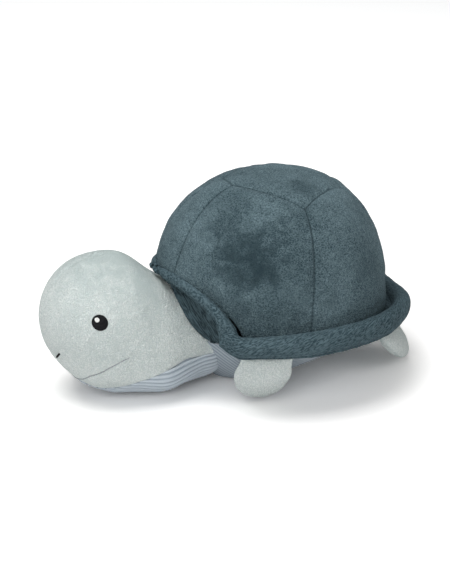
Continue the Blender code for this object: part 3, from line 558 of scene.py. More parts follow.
@dataclass(frozen=True)
class HeadForm:
    """The head's ball, its throat and the neck that runs into the shell."""

    pivot: Vector
    middle: Vector
    radius: float = 48.0 * MM
    neck_radius: float = 38.8 * MM
    waist: float = 4.5 * MM
    pouch: float = 8.5 * MM
    pouch_row: float = 0.64
    pouch_rows: float = 0.20
    pouch_turn: float = math.radians(125.0)
    pouch_turns: float = math.radians(52.0)
    smoothing: float = 0.075
    smooth_from: float = 0.2
    smooth_from_span: float = 0.2
    smooth_until: float = 0.84
    smooth_until_span: float = 0.1
    smooth_steps: tuple[float, ...] = (-1.0, -0.6, -0.25, 0.25, 0.6, 1.0)
    throat_drop: float = 14.0 * MM
    floor_clearance: float = 0.8 * MM
    flare: float = 1.2 * MM
    back_angle: float = math.radians(112.0)
    front_angle: float = math.radians(78.0)
    hem_angle: float = math.radians(126.0)
    ball_share: float = 0.52
    neck_start_share: float = 0.785
    throat_start_share: float = 0.30
    chin_tip_share: float = 0.28
    chin_full_share: float = 0.74
    chin_half_angle: float = math.radians(80.0)

    def along(self, row: float) -> float:
        """How far a row has gone from the head's ball to the neck's ball."""
        return ease((row - self.ball_share) / (self.neck_start_share - self.ball_share))

    def point(self, row: float, turn: float) -> Vector:
        """Place on the head's stuffed skin, its bends softened along the rows.

        Args:
            row: From 0 at the nose to 1 at the neck's hidden hem.
            turn: Angle round the head, from 0 at the top.

        Returns:
            The place.
        """
        starting = ease((row - self.smooth_from) / self.smooth_from_span)
        ending = ease((row - self.smooth_until) / self.smooth_until_span)
        reach = self.smoothing * starting * (1.0 - ending)
        if reach <= 0.0:
            return self.rough_point(row, turn)
        spots = [self.rough_point(row + reach * step, turn) for step in self.smooth_steps]
        return sum(spots, Vector()) / len(spots)

    def rough_point(self, row: float, turn: float) -> Vector:
        """Place on the head, row from 0 at the nose to 1 at the neck's hidden hem.

        Args:
            row: From 0 at the nose to 1 at the neck's hidden hem.
            turn: Angle round the head, from 0 at the top.

        Returns:
            The place.
        """
        along = self.along(row)
        if row < self.ball_share:
            polar = self.back_angle * row / self.ball_share
        elif row < self.neck_start_share:
            polar = blend(self.back_angle, self.front_angle, along)
        else:
            share = (row - self.neck_start_share) / (1.0 - self.neck_start_share)
            polar = blend(self.front_angle, self.hem_angle, share)
        top_share = (1.0 + math.cos(turn)) / 2
        waist = self.waist * math.sin(math.pi * along) * top_share
        folded = math.pi - abs(math.pi - turn % math.tau)
        pouch = (self.pouch * bell((row - self.pouch_row) / self.pouch_rows)
                 * bell((folded - self.pouch_turn) / self.pouch_turns))
        radius = blend(self.radius, self.neck_radius, along) - waist + pouch
        place = self.middle.lerp(self.pivot, along) + radius * turned(polar, turn)
        fall = ease((row / self.ball_share - self.throat_start_share) / (1.0 - self.throat_start_share))
        place.z -= self.throat_drop * fall * (1.0 - along) * (1.0 - top_share)
        place.z = max(place.z, self.floor_clearance)
        return place

    def chin_half(self, row: float) -> float:
        """Half of the angle that the chin panel spans at a row."""
        share = (row - self.chin_tip_share) / (self.chin_full_share - self.chin_tip_share)
        return self.chin_half_angle * math.sqrt(min(1.0, max(0.0, share)))

    def surface_at(self, place: Vector) -> tuple[Vector, Vector, float]:
        """Axis, surface and share along the neck, level with a place along Y.

        Args:
            place: The place.

        Returns:
            The axis, the surface and the share.
        """
        front = self.ball_share
        rear = 1.0
        for _ in range(HALVINGS):
            row = (front + rear) / 2
            along = self.along(row)
            axis = self.middle.lerp(self.pivot, along)
            axis.y = place.y
            arm = place - axis
            surface = self.point(row, math.atan2(arm.x, arm.z))
            if surface.y < place.y:
                front = row
            else:
                rear = row
        return axis, surface, along

    def clear(self, place: Vector, gap: float) -> Vector:
        """Push a place out of the neck, to a gap from its surface.

        Args:
            place: The place.
            gap: The gap.

        Returns:
            The place.
        """
        axis, surface, along = self.surface_at(place)
        arm = place - axis
        room = (surface - axis).length + gap + self.flare * (1.0 - along)
        return axis + arm * max(1.0, room / max(arm.length, MM))

    def depth_inside(self, place: Vector) -> float:
        """How deep a place lies in the neck, negative outside."""
        axis, surface, _ = self.surface_at(place)
        return (surface - axis).length - (place - axis).length


@dataclass(frozen=True)
class BrimForm:
    """The padded edge turned up round the shell, and the arch over the neck."""

    shell: ShellForm
    head: HeadForm
    gap: float = 1.0 * MM
    half_height: float = 10.8 * MM
    half_thickness: float = 7.2 * MM
    lean: float = 2.5 * MM
    middle_height: float = 53.5 * MM
    corner_angle: float = math.radians(57.0)
    seam_low: float = math.radians(128.0)
    seam_hidden: float = math.radians(228.0)
    arch_rise: float = 32.5 * MM
    arch_inset: float = 11.5 * MM
    arch_notch: float = 2.5 * MM
    notch_share: float = 0.3
    arch_power: float = 3.1
    crest_from: float = 0.3
    crest_share: float = 0.65
    arch_round: float = 0.85
    depth_middle: float = 9.0 * MM
    depth_corner: float = 19.0 * MM
    arch_back: float = 7.5 * MM
    back_rise_middle: float = 1.0 * MM
    back_rise_corner: float = -3.0 * MM
    arch_lip: float = 7.5 * MM
    knee_share: float = 0.55
    heel_share: float = 0.4
    lip_top_angle: float = math.radians(64.0)
    lip_side_angle: float = math.radians(92.0)
    lip_side_turn: float = math.radians(81.0)
    neck_gap: float = 1.7 * MM
    roll_gap: float = 2.5 * MM
    neck_reach: float = 1.15
    crest_back: float = 1.5 * MM
    crest_drop: float = 2.0 * MM
    roll_half_height: float = 4.6 * MM
    roll_half_thickness: float = 4.2 * MM
    corner_half_height: float = 8.6 * MM
    rear_half_height: float = 7.4 * MM
    rear_lean: float = 0.2
    rear_drop: float = 8.0 * MM
    side_rise: float = 4.5 * MM
    side_inset: float = 1.5 * MM
    recess: float = 2.5 * MM
    settling: float = 6.0 * MM
    settling_middle: float = 0.6
    settling_reach: float = 0.55
    rise_middle: float = 1.36
    rise_reach: float = 0.42
    inset_reach: float = 0.2
    roll_step: float = 0.035
    full_from: float = 0.62
    full_reach: float = 0.5
    corner_reach: float = 0.3
    rear_from: float = 1.70
    rear_reach: float = 0.3
    facing_step: float = 0.08
    sections: dict = field(default_factory=dict, compare=False, repr=False)

    def cross(self, angle: float) -> tuple[Vector, Vector, Vector]:
        """Middle, upright and outward directions of the brim at an angle.

        Args:
            angle: Angle round the shell, from 0 at the front towards the left.

        Returns:
            The middle and the two directions.
        """
        out = Vector((math.sin(angle), -math.cos(angle), 0.0))
        reach = self.gap + self.half_thickness
        middle = self.shell.middle + Vector(((self.shell.half_width + reach) * out.x,
                                             (self.shell.half_length + reach) * out.y, self.middle_height))
        upright = (Vector((0.0, 0.0, self.half_height)) + out * self.lean).normalized()
        return middle, upright, out

    def ridge(self, share: float) -> Vector:
        """Top of the arch, share from -1 at its right corner to 1 at its left one.

        Args:
            share: From -1 at the arch's right corner to 1 at its left one.

        Returns:
            The place.
        """
        away = min(1.0, abs(share))
        middle, upright, out = self.cross(share * self.corner_angle)
        corner = middle + upright * self.half_height
        notch = self.arch_notch * max(0.0, 1.0 - away / self.notch_share) ** 2
        rise = self.arch_rise * (1.0 - away ** self.arch_power) ** self.arch_round - notch
        crest = 1.0 - ease((away - self.crest_from) / self.crest_share)
        inset = self.arch_inset * (1.0 - away ** 4) + self.crest_back * crest
        sinking = bell((away - self.settling_middle) / self.settling_reach)
        settled = self.settling * sinking if share < 0.0 else 0.0
        return corner - out * inset + Vector((0.0, settled, rise - self.crest_drop * crest - settled))

    def edge_line(self, along: float, hand: float) -> Vector:
        """Top of the padded edge.

        Args:
            along: From 0 at the top of the arch over 1 at its corner to 2 at the rear.
            hand: Sign of the side.

        Returns:
            The place.
        """
        if along < 1.0:
            return self.ridge(math.sin(math.pi / 2 * along) * hand)
        middle, upright, out = self.cross(blend(self.corner_angle, math.pi, along - 1.0) * hand)
        risen = self.side_rise * bell((along - self.rise_middle) / self.rise_reach)
        inset = self.side_inset * ease((along - 1.0) / self.inset_reach)
        return middle + upright * self.half_height + Vector((0.0, 0.0, risen)) - out * inset

    def roll(self, along: float, turn: float, hand: float) -> Vector:
        """Place round the rolled edge, turned from its top to its outer face.

        Args:
            along: From 0 at the top of the arch over 1 at its corner to 2 at the rear.
            turn: Angle round the section.
            hand: Sign of the side.

        Returns:
            The place.
        """
        offsets = (-1.5, -0.5, 0.5, 1.5)
        spots = [self.edge_line(max(0.0, along + self.roll_step * offset), hand) for offset in offsets]
        spot = sum(spots, Vector()) / 4.0
        ahead = (spots[3] - spots[0]).normalized()
        full = ease((along - self.full_from) / self.full_reach)
        tall = blend(self.roll_half_height, self.half_height, full)
        thick = blend(self.roll_half_thickness, self.half_thickness, full)
        angle = self.corner_angle * math.sin(math.pi / 2 * along) if along < 1.0 else blend(
            self.corner_angle, math.pi, along - 1.0)
        out = Vector((math.sin(angle) * hand, -math.cos(angle), 0.0))
        side = (out - ahead * ahead.dot(out)).normalized()
        up = side.cross(ahead) * hand
        rear = ease((along - self.rear_from) / self.rear_reach)
        tall = blend(tall, self.corner_half_height, full * (1.0 - ease((along - 1.0) / self.corner_reach)))
        tall = blend(tall, self.rear_half_height, rear)
        lean = self.lean / self.half_height * full + self.rear_lean * rear
        upright = up * math.cos(lean) + side * math.sin(lean)
        outward = side * math.cos(lean) - up * math.sin(lean)
        middle = spot - up * (tall + self.rear_drop * rear)
        place = middle + upright * tall * math.cos(turn) + outward * thick * math.sin(turn)
        return self.head.clear(place, self.roll_gap) if along < self.neck_reach else place

    def controls(self, share: float) -> list[Vector]:
        """Seven points round the arch's section, from its lip on the neck over its ridge.

        Args:
            share: From -1 at the arch's right corner to 1 at its left one.

        Returns:
            The points.
        """
        away = min(1.0, abs(share))
        ridge = self.ridge(share)
        out = self.cross(share * self.corner_angle)[2]
        polar = blend(self.lip_top_angle, self.lip_side_angle, away ** 3)
        lip = self.head.pivot + self.head.neck_radius * turned(polar, share * self.lip_side_turn)
        lip = self.head.clear(lip, self.neck_gap)
        drop = blend(self.depth_middle, self.depth_corner, away ** 4)
        rise = blend(self.back_rise_middle, self.back_rise_corner, away ** 2)
        cheek = ridge + out * self.lean * (1.0 - away) - Vector((0.0, 0.0, drop))
        cheek = self.head.clear(cheek, self.neck_gap)
        back = ridge - out * self.arch_back + Vector((0.0, 0.0, rise))
        along = (ridge - lip).normalized()
        held = min(1.0 - self.facing_step, max(self.facing_step - 1.0, share))
        facing = (self.ridge(held + self.facing_step) - self.ridge(held - self.facing_step)).normalized()
        inward = facing.cross(along).normalized()
        if inward.dot(out) > 0.0:
            inward = -inward
        hem = lip + inward * self.arch_lip + along * self.arch_lip / 2
        knee = lip.lerp(cheek, self.knee_share)
        heel = hem.lerp(back, self.heel_share)
        return [lip, knee, cheek, ridge, back, heel, hem]

    def arch_point(self, share: float, position: float) -> Vector:
        """Place on the arch's section, position 0 at its lip, 3 at its ridge and 6 at its hem.

        Args:
            share: From -1 at the arch's right corner to 1 at its left one.
            position: From 0 at the lip over 3 at the ridge to 6 at the hem.

        Returns:
            The place.
        """
        key = round(share, 6)
        if key not in self.sections:
            self.sections[key] = self.controls(share)
        points = self.sections[key]
        index = min(int(position), 6)
        step = position - index
        before, start, end, after = (points[(index + offset) % 7] for offset in (-1, 0, 1, 2))
        place = 0.5 * (start * 2.0 + (end - before) * step
                       + (before * 2.0 - start * 5.0 + end * 4.0 - after) * step ** 2
                       + (start * 3.0 - before - end * 3.0 + after) * step ** 3)
        return self.head.clear(place, self.neck_gap)


@dataclass(frozen=True)
class BellyForm:
    """The shallow bowl under the shell, with its flat to rest on."""

    shell: ShellForm
    brim: BrimForm
    flat_half_width: float = 15.0 * MM
    flat_half_length: float = 22.0 * MM
    flat_forward: float = 24.0 * MM
    bowl_power: float = 1.35
    rim_drop: float = 2.5 * MM
    throat_side: float = 36.0 * MM
    throat_back: float = 2.0 * MM
    throat_rise: float = 4.0 * MM
    throat_share: float = 0.35

    def rim(self, angle: float) -> Vector:
        """Upper edge of the belly, drawn in to the neck at the front.

        Args:
            angle: Angle round the shell, from 0 at the front towards the left.

        Returns:
            The place.
        """
        rim = Vector((self.shell.half_width * math.sin(angle), -self.shell.half_length * math.cos(angle),
                      self.shell.rim_height - self.rim_drop))
        share = abs(wrapped(angle)) / self.brim.corner_angle
        if share < 1.0:
            hand = math.copysign(1.0, math.sin(angle))
            corner = Vector((self.shell.half_width * math.sin(self.brim.corner_angle) * hand,
                             -self.shell.half_length * math.cos(self.brim.corner_angle), rim.z))
            neck = self.brim.head.pivot - self.shell.middle
            throat = Vector((self.throat_side * hand, neck.y + self.throat_back, neck.z + self.throat_rise))
            if share > self.throat_share:
                rim = throat.lerp(corner, (share - self.throat_share) / (1.0 - self.throat_share))
            else:
                rim = Vector((throat.x * share / self.throat_share, throat.y, throat.z))
        return rim

    def point(self, angle: float, rise: float) -> Vector:
        """Place on the belly, rise from 0 at the flat to 1 at the rim.

        Args:
            angle: Angle round the shell, from 0 at the front towards the left.
            rise: From 0 at the flat to 1 at the rim.

        Returns:
            The place.
        """
        flat = Vector((self.flat_half_width * math.sin(angle),
                       -self.flat_forward - self.flat_half_length * math.cos(angle), 0.0))
        rim = self.rim(angle)
        place = flat.lerp(Vector((rim.x, rim.y, 0.0)), rise)
        place.z = rim.z * rise ** self.bowl_power
        return self.shell.middle + place


@dataclass(frozen=True)
class FootForm:
    """A stuffed foot that hangs from its seam."""

    root: Vector
    width: Vector
    hand: float
    slope: float
    sweep: float
    length: float
    half_width: float = 21.0 * MM
    root_half_width: float = 18.5 * MM
    half_thickness: float = 8.0 * MM
    root_radius: float = 3.0 * MM
    tip_power: float = 3.2
    tip_round: float = 0.45
    swell: float = 2.4

    def axes(self) -> tuple[Vector, Vector, bool]:
        """Long direction and upper side of the foot, and whether its panels are turned over.

        Returns:
            The two directions, and whether the panels are turned over.
        """
        out = Vector((self.width.y, -self.width.x, 0.0))
        along = out * math.cos(self.slope) + Vector((0.0, 0.0, math.sin(self.slope)))
        along = (along + self.width * math.tan(self.sweep) * self.hand).normalized()
        upper = self.width.cross(along).normalized()
        return (along, upper, True) if upper.dot(out) > 0.0 else (along, -upper, False)

    def point(self, share: float, turn: float) -> Vector:
        """Place on the foot: share -1 to 0 round its root, and 0 to 1 out to its tip.

        Args:
            share: From -1 round the root over 0 to 1 at the tip.
            turn: Angle round the foot's section.

        Returns:
            The place.
        """
        along, upper, _ = self.axes()
        if share < 0.0:
            distance = self.root_radius * math.sin(math.pi / 2 * share)
            thick = self.root_radius * math.cos(math.pi / 2 * share)
            half_width = self.root_half_width
        else:
            taper = max(0.0, 1.0 - share ** self.tip_power) ** self.tip_round
            distance = self.length * share
            fullness = ease(share * self.swell)
            thick = blend(self.root_radius, self.half_thickness, fullness) * taper
            half_width = blend(self.root_half_width, self.half_width, fullness) * taper
        return (self.root + along * distance + self.width * half_width * math.cos(turn)
                + upper * thick * math.sin(turn))


# Cutting, stuffing and sewing

# How far a panel's rows are drawn to its edges, the share of a grid that counts as its edge, and the gaps
# below which the corners of a closed panel and of a stitch are joined
EDGE_PULL = 0.55
EDGE_SHARE = 1e-4
ROUNDING = 1e-6
PANEL_JOIN = 0.02 * MM
STITCH_JOIN = 0.002 * MM


@dataclass(frozen=True)
class Sewing:
    """How a panel is drawn down to its seams, stuffed and given its pile."""

    dip: float = 1.9 * MM
    seam_width: float = 5.0 * MM
    rest_depth: float = 0.7 * MM
    puff: float = 1.5 * MM
    levels: int = 2
    clump: float = 0.35 * MM
    thickness: float = 1.5 * MM
    rib: float = 0.0


@dataclass
class Cut:
    """One panel of fabric: how it is laid, and how it is sewn and finished."""

    name: str
    place: Place
    columns: int
    rows: int
    replaces: tuple[str, ...]
    body: str
    slot: Slot
    finish: str = ""
    sewing: Sewing = Sewing()
    seams: str = "udlr"
    held: str = "udlr"
    closed: bool = False
    flip: bool = False
    weave: Optional[Callable[[Vector], float]] = None
    trim: Optional[Callable[[Vector], bool]] = None
    piece: Optional[bpy.types.Object] = field(default=None, repr=False)


def select_only(piece: bpy.types.Object) -> None:
    """Select one object and make it the active one.

    Args:
        piece: The piece.
    """
    bpy.ops.object.select_all(action="DESELECT")
    piece.select_set(True)
    bpy.context.view_layer.objects.active = piece


def crowded(share: float, pull: float) -> float:
    """Draw a panel's rows closer together at its two edges."""
    return blend(share, 0.5 - 0.5 * math.cos(math.pi * share), pull)


def points_of(piece: bpy.types.Object) -> np.ndarray:
    """Places of a mesh's corners.

    Args:
        piece: The piece.

    Returns:
        The places.
    """
    flat = np.empty(len(piece.data.vertices) * 3)
    piece.data.vertices.foreach_get("co", flat)
    return flat.reshape(-1, 3)


def normals_of(piece: bpy.types.Object) -> np.ndarray:
    """Normals at a mesh's corners.

    Args:
        piece: The piece.

    Returns:
        The normals.
    """
    flat = np.empty(len(piece.data.vertices) * 3)
    piece.data.vertices.foreach_get("normal", flat)
    return flat.reshape(-1, 3)


def move_points(piece: bpy.types.Object, points: np.ndarray) -> None:
    """Give a mesh's corners new places."""
    piece.data.vertices.foreach_set("co", points.astype(np.float32).ravel())
    piece.data.update()


def flat_grid(name: str, columns: int, rows: int) -> tuple[bpy.types.Object, np.ndarray]:
    """Make a flat grid of fabric.

    Args:
        name: The piece's name.
        columns: Its faces across.
        rows: Its faces down.

    Returns:
        The piece, and its corners' shares across and down.
    """
    bpy.ops.object.select_all(action="DESELECT")
    bpy.ops.mesh.primitive_grid_add(x_subdivisions=columns, y_subdivisions=rows, size=1.0)
    piece = bpy.context.active_object
    piece.name = name
    piece.data.name = name
    return piece, points_of(piece) + 0.5


def close_mesh(piece: bpy.types.Object, gap: float, outwards: bool) -> None:
    """Join a mesh's corners that meet, and turn its faces outwards where that is wanted.

    Args:
        piece: The piece.
        gap: Corners nearer than this are joined.
        outwards: Whether its faces are turned outwards.
    """
    select_only(piece)
    bpy.ops.object.mode_set(mode="EDIT")
    bpy.ops.mesh.select_all(action="SELECT")
    if gap:
        bpy.ops.mesh.remove_doubles(threshold=gap)
    if outwards:
        bpy.ops.mesh.normals_make_consistent(inside=False)
    bpy.ops.object.mode_set(mode="OBJECT")


def dress(piece: bpy.types.Object, material: bpy.types.Material, body: str, nodes: Sequence[str],
          slot: Slot) -> None:
    """Give a finished piece its finish, its body and the nodes that it stands for.

    Args:
        piece: The piece.
        material: Its finish.
        body: The body that it rides on.
        nodes: The nodes that it replaces.
        slot: Its material slot; not used.
    """
    select_only(piece)
    bpy.ops.object.shade_smooth()
    piece.data.materials.clear()
    piece.data.materials.append(material)
    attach(piece, body)
    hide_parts(*nodes)
    log.info("%s: %d faces on %s", piece.name, len(piece.data.polygons), body)


def lay_panel(cut: Cut) -> None:
    """Cut a flat grid of fabric, lay it on its form and draw its seams down.

    Args:
        cut: The panel, which then holds its piece.
    """
    piece, flat = flat_grid(cut.name, cut.columns, cut.rows)
    pull = 0.0 if cut.closed else EDGE_PULL
    laid = np.array([cut.place(crowded(float(u), pull), crowded(float(v), pull)) for u, v, _ in flat])
    move_points(piece, laid)
    if cut.flip:
        piece.data.flip_normals()
    sides = {"l": flat[:, 0] < EDGE_SHARE, "r": flat[:, 0] > 1.0 - EDGE_SHARE,
             "u": flat[:, 1] < EDGE_SHARE, "d": flat[:, 1] > 1.0 - EDGE_SHARE}
    nowhere = np.zeros(len(flat), bool)
    sewn = sum((sides[letter] for letter in cut.seams), nowhere)
    border = sum((sides[letter] for letter in cut.held), nowhere)
    draw_seams(piece, cut, laid, sewn)
    set_weave(piece, cut, flat, laid, sewn)
    edge = piece.vertex_groups.new(name="edge")
    edge.add([int(index) for index in np.flatnonzero(border)], 1.0, "REPLACE")
    if cut.closed:
        close_mesh(piece, PANEL_JOIN, False)
    cut.piece = piece


def draw_seams(piece: bpy.types.Object, cut: Cut, laid: np.ndarray, sewn: np.ndarray) -> None:
    """Lower a panel a little, and most along its sewn edges.

    Args:
        piece: The piece.
        cut: The panel.
        laid: Its corners' places on the form.
        sewn: Which corners lie on a seam.
    """
    sewing = cut.sewing
    lowered = np.full(len(laid), sewing.rest_depth)
    if sewn.any():
        seam = laid[sewn]
        nearest = np.array([np.sqrt(((seam - place) ** 2).sum(1).min()) for place in laid])
        share = np.clip(nearest / sewing.seam_width, 0.0, 1.0)
        lowered = sewing.rest_depth + (sewing.dip - sewing.rest_depth) * (1.0 - np.sqrt(share))
    move_points(piece, laid - normals_of(piece) * lowered[:, None])


def set_weave(piece: bpy.types.Object, cut: Cut, flat: np.ndarray, laid: np.ndarray,
              sewn: np.ndarray) -> None:
    """Store in two UV maps how the fabric runs and how far its seams are.

    Args:
        piece: The panel.
        cut: How it is cut.
        flat: Its corners' places on the flat grid.
        laid: Their places on the form.
        sewn: Which corners lie on a seam.
    """
    columns, rows = (np.rint(shares * (len(np.unique(shares.round(5))) - 1)).astype(int)
                     for shares in flat.T[:2])
    grid = np.zeros((rows.max() + 1, columns.max() + 1, 3))
    grid[rows, columns] = laid
    across, down = (np.linalg.norm(np.diff(grid, axis=axis), axis=2).cumsum(axis) for axis in (1, 0))
    across = np.pad(across, ((0, 0), (1, 0)))
    across -= across[:, [across.shape[1] // 2]]
    down = np.pad(down, ((1, 0), (0, 0)))
    weave = np.stack([across[rows, columns], down[rows, columns]], 1)
    if cut.weave is not None:
        weave[:, 0] = [cut.weave(Vector(place)) for place in laid]
    seam = np.ones((len(laid), 2))
    if sewn.any():
        upright = sewn & ((flat[:, 0] < EDGE_SHARE) | (flat[:, 0] > 1.0 - EDGE_SHARE))
        for index, place in enumerate(laid):
            away = ((laid[sewn] - place) ** 2).sum(1)
            nearest = int(away.argmin())
            on_side = upright[sewn][nearest]
            seam[index] = (math.sqrt(away[nearest]), weave[sewn][nearest][1 if on_side else 0])
    corners = np.empty(len(piece.data.loops), int)
    piece.data.loops.foreach_get("vertex_index", corners)
    for name, values in (("UVMap", weave), ("seam", seam)):
        layer = piece.data.uv_layers.get(name) or piece.data.uv_layers.new(name=name)
        layer.data.foreach_set("uv", values[corners].astype(np.float32).ravel())


@dataclass(frozen=True)
class Filling:
    """How the fabric answers its filling, by the names of the cloth's settings."""

    quality: int = 4
    mass: float = 0.3
    tension_stiffness: float = 15.0
    compression_stiffness: float = 10.0
    shear_stiffness: float = 8.0
    bending_stiffness: float = 0.5
    use_pressure: bool = True
    uniform_pressure_force: float = 4.0
    shrink_min: float = -0.03
    vertex_group_mass: str = "edge"


def stuff(cuts: Sequence[Cut], filling: Filling = Filling(), frames: int = 20) -> None:
    """Press every laid panel out with its filling, its edges held by their seams.

    Args:
        cuts: The laid panels.
        filling: How the fabric answers its filling.
        frames: How many frames the fabric takes to settle.
    """
    started = {cut.name: points_of(cut.piece) for cut in cuts}
    for cut in cuts:
        cloth = cut.piece.modifiers.new("filling", "CLOTH")
        for key, value in asdict(filling).items():
            setattr(cloth.settings, key, value)
        cloth.settings.effector_weights.gravity = 0.0
        cloth.collision_settings.use_collision = False
        cloth.point_cache.frame_start = 1
        cloth.point_cache.frame_end = frames
    for step in range(1, frames + 1):
        bpy.context.scene.frame_set(step)
    for cut in cuts:
        select_only(cut.piece)
        bpy.ops.object.modifier_apply(modifier="filling")
        moved = points_of(cut.piece) - started[cut.name]
        reach = np.linalg.norm(moved, axis=1).max()
        log.info("%s pressed out %.1f mm", cut.name, reach / MM)
        if reach > cut.sewing.puff:
            moved *= cut.sewing.puff / reach
        move_points(cut.piece, started[cut.name] + moved)
    bpy.context.scene.frame_set(1)


def apply_modifier(piece: bpy.types.Object, kind: str, **settings: object) -> None:
    """Add a modifier with its settings and apply it.

    Args:
        piece: The piece.
        kind: The modifier's type.
        settings: The modifier's settings.
    """
    select_only(piece)
    modifier = piece.modifiers.new(kind.lower(), kind)
    for key, value in settings.items():
        setattr(modifier, key, value)
    bpy.ops.object.modifier_apply(modifier=modifier.name)


def ruffle(piece: bpy.types.Object, height: float) -> None:
    """Give the pile its clumps and slight hollows.

    Args:
        piece: The piece.
        height: How high the clumps stand.
    """
    wide, close, share = 9.0 * MM, 3.6 * MM, 0.6
    spots = [Vector(place) for place in points_of(piece)]
    rise = np.array([noise.noise(spot / wide) + share * noise.noise(spot / close) for spot in spots])
    move_points(piece, points_of(piece) + normals_of(piece) * (rise * height * share)[:, None])


def press_ribs(piece: bpy.types.Object, depth: float) -> None:
    """Press the valleys between ribs into a panel, along its length.

    Args:
        piece: The panel.
        depth: How deep the valleys are.
    """
    corners = np.empty(len(piece.data.loops), int)
    piece.data.loops.foreach_get("vertex_index", corners)
    values = np.empty(len(corners) * 2)
    piece.data.uv_layers["UVMap"].data.foreach_get("uv", values)
    across = np.zeros(len(piece.data.vertices))
    across[corners] = values.reshape(-1, 2)[:, 0]
    valley = np.abs(np.sin(across * (math.pi / RIB_PITCH))) ** 3
    move_points(piece, points_of(piece) - normals_of(piece) * (valley * depth)[:, None])


def trim_panel(cut: Cut) -> None:
    """Cut away the faces of a panel that its rule names.

    Args:
        cut: The panel.
    """
    select_only(cut.piece)
    mesh = cut.piece.data
    bpy.ops.object.mode_set(mode="EDIT")
    bpy.ops.mesh.select_mode(type="FACE")
    bpy.ops.mesh.select_all(action="DESELECT")
    bpy.ops.object.mode_set(mode="OBJECT")
    for polygon in mesh.polygons:
        polygon.select = all(cut.trim(mesh.vertices[index].co) for index in polygon.vertices)
    bpy.ops.object.mode_set(mode="EDIT")
    bpy.ops.mesh.delete(type="FACE")
    bpy.ops.mesh.select_mode(type="VERT")
    bpy.ops.object.mode_set(mode="OBJECT")


def sew(cut: Cut, material: bpy.types.Material) -> bpy.types.Object:
    """Finish a stuffed panel: smooth it, give it its pile and thickness, and put it in its place.

    Args:
        cut: The panel.
        material: Its finish.

    Returns:
        The finished piece.
    """
    piece, sewing = cut.piece, cut.sewing
    levels = {"levels": sewing.levels, "render_levels": sewing.levels}
    apply_modifier(piece, "SUBSURF", boundary_smooth="PRESERVE_CORNERS", **levels)
    if sewing.rib:
        press_ribs(piece, sewing.rib)
    ruffle(piece, sewing.clump)
    apply_modifier(piece, "SOLIDIFY", thickness=sewing.thickness, offset=-1.0)
    dress(piece, material, cut.body, cut.replaces, cut.slot)
    return piece


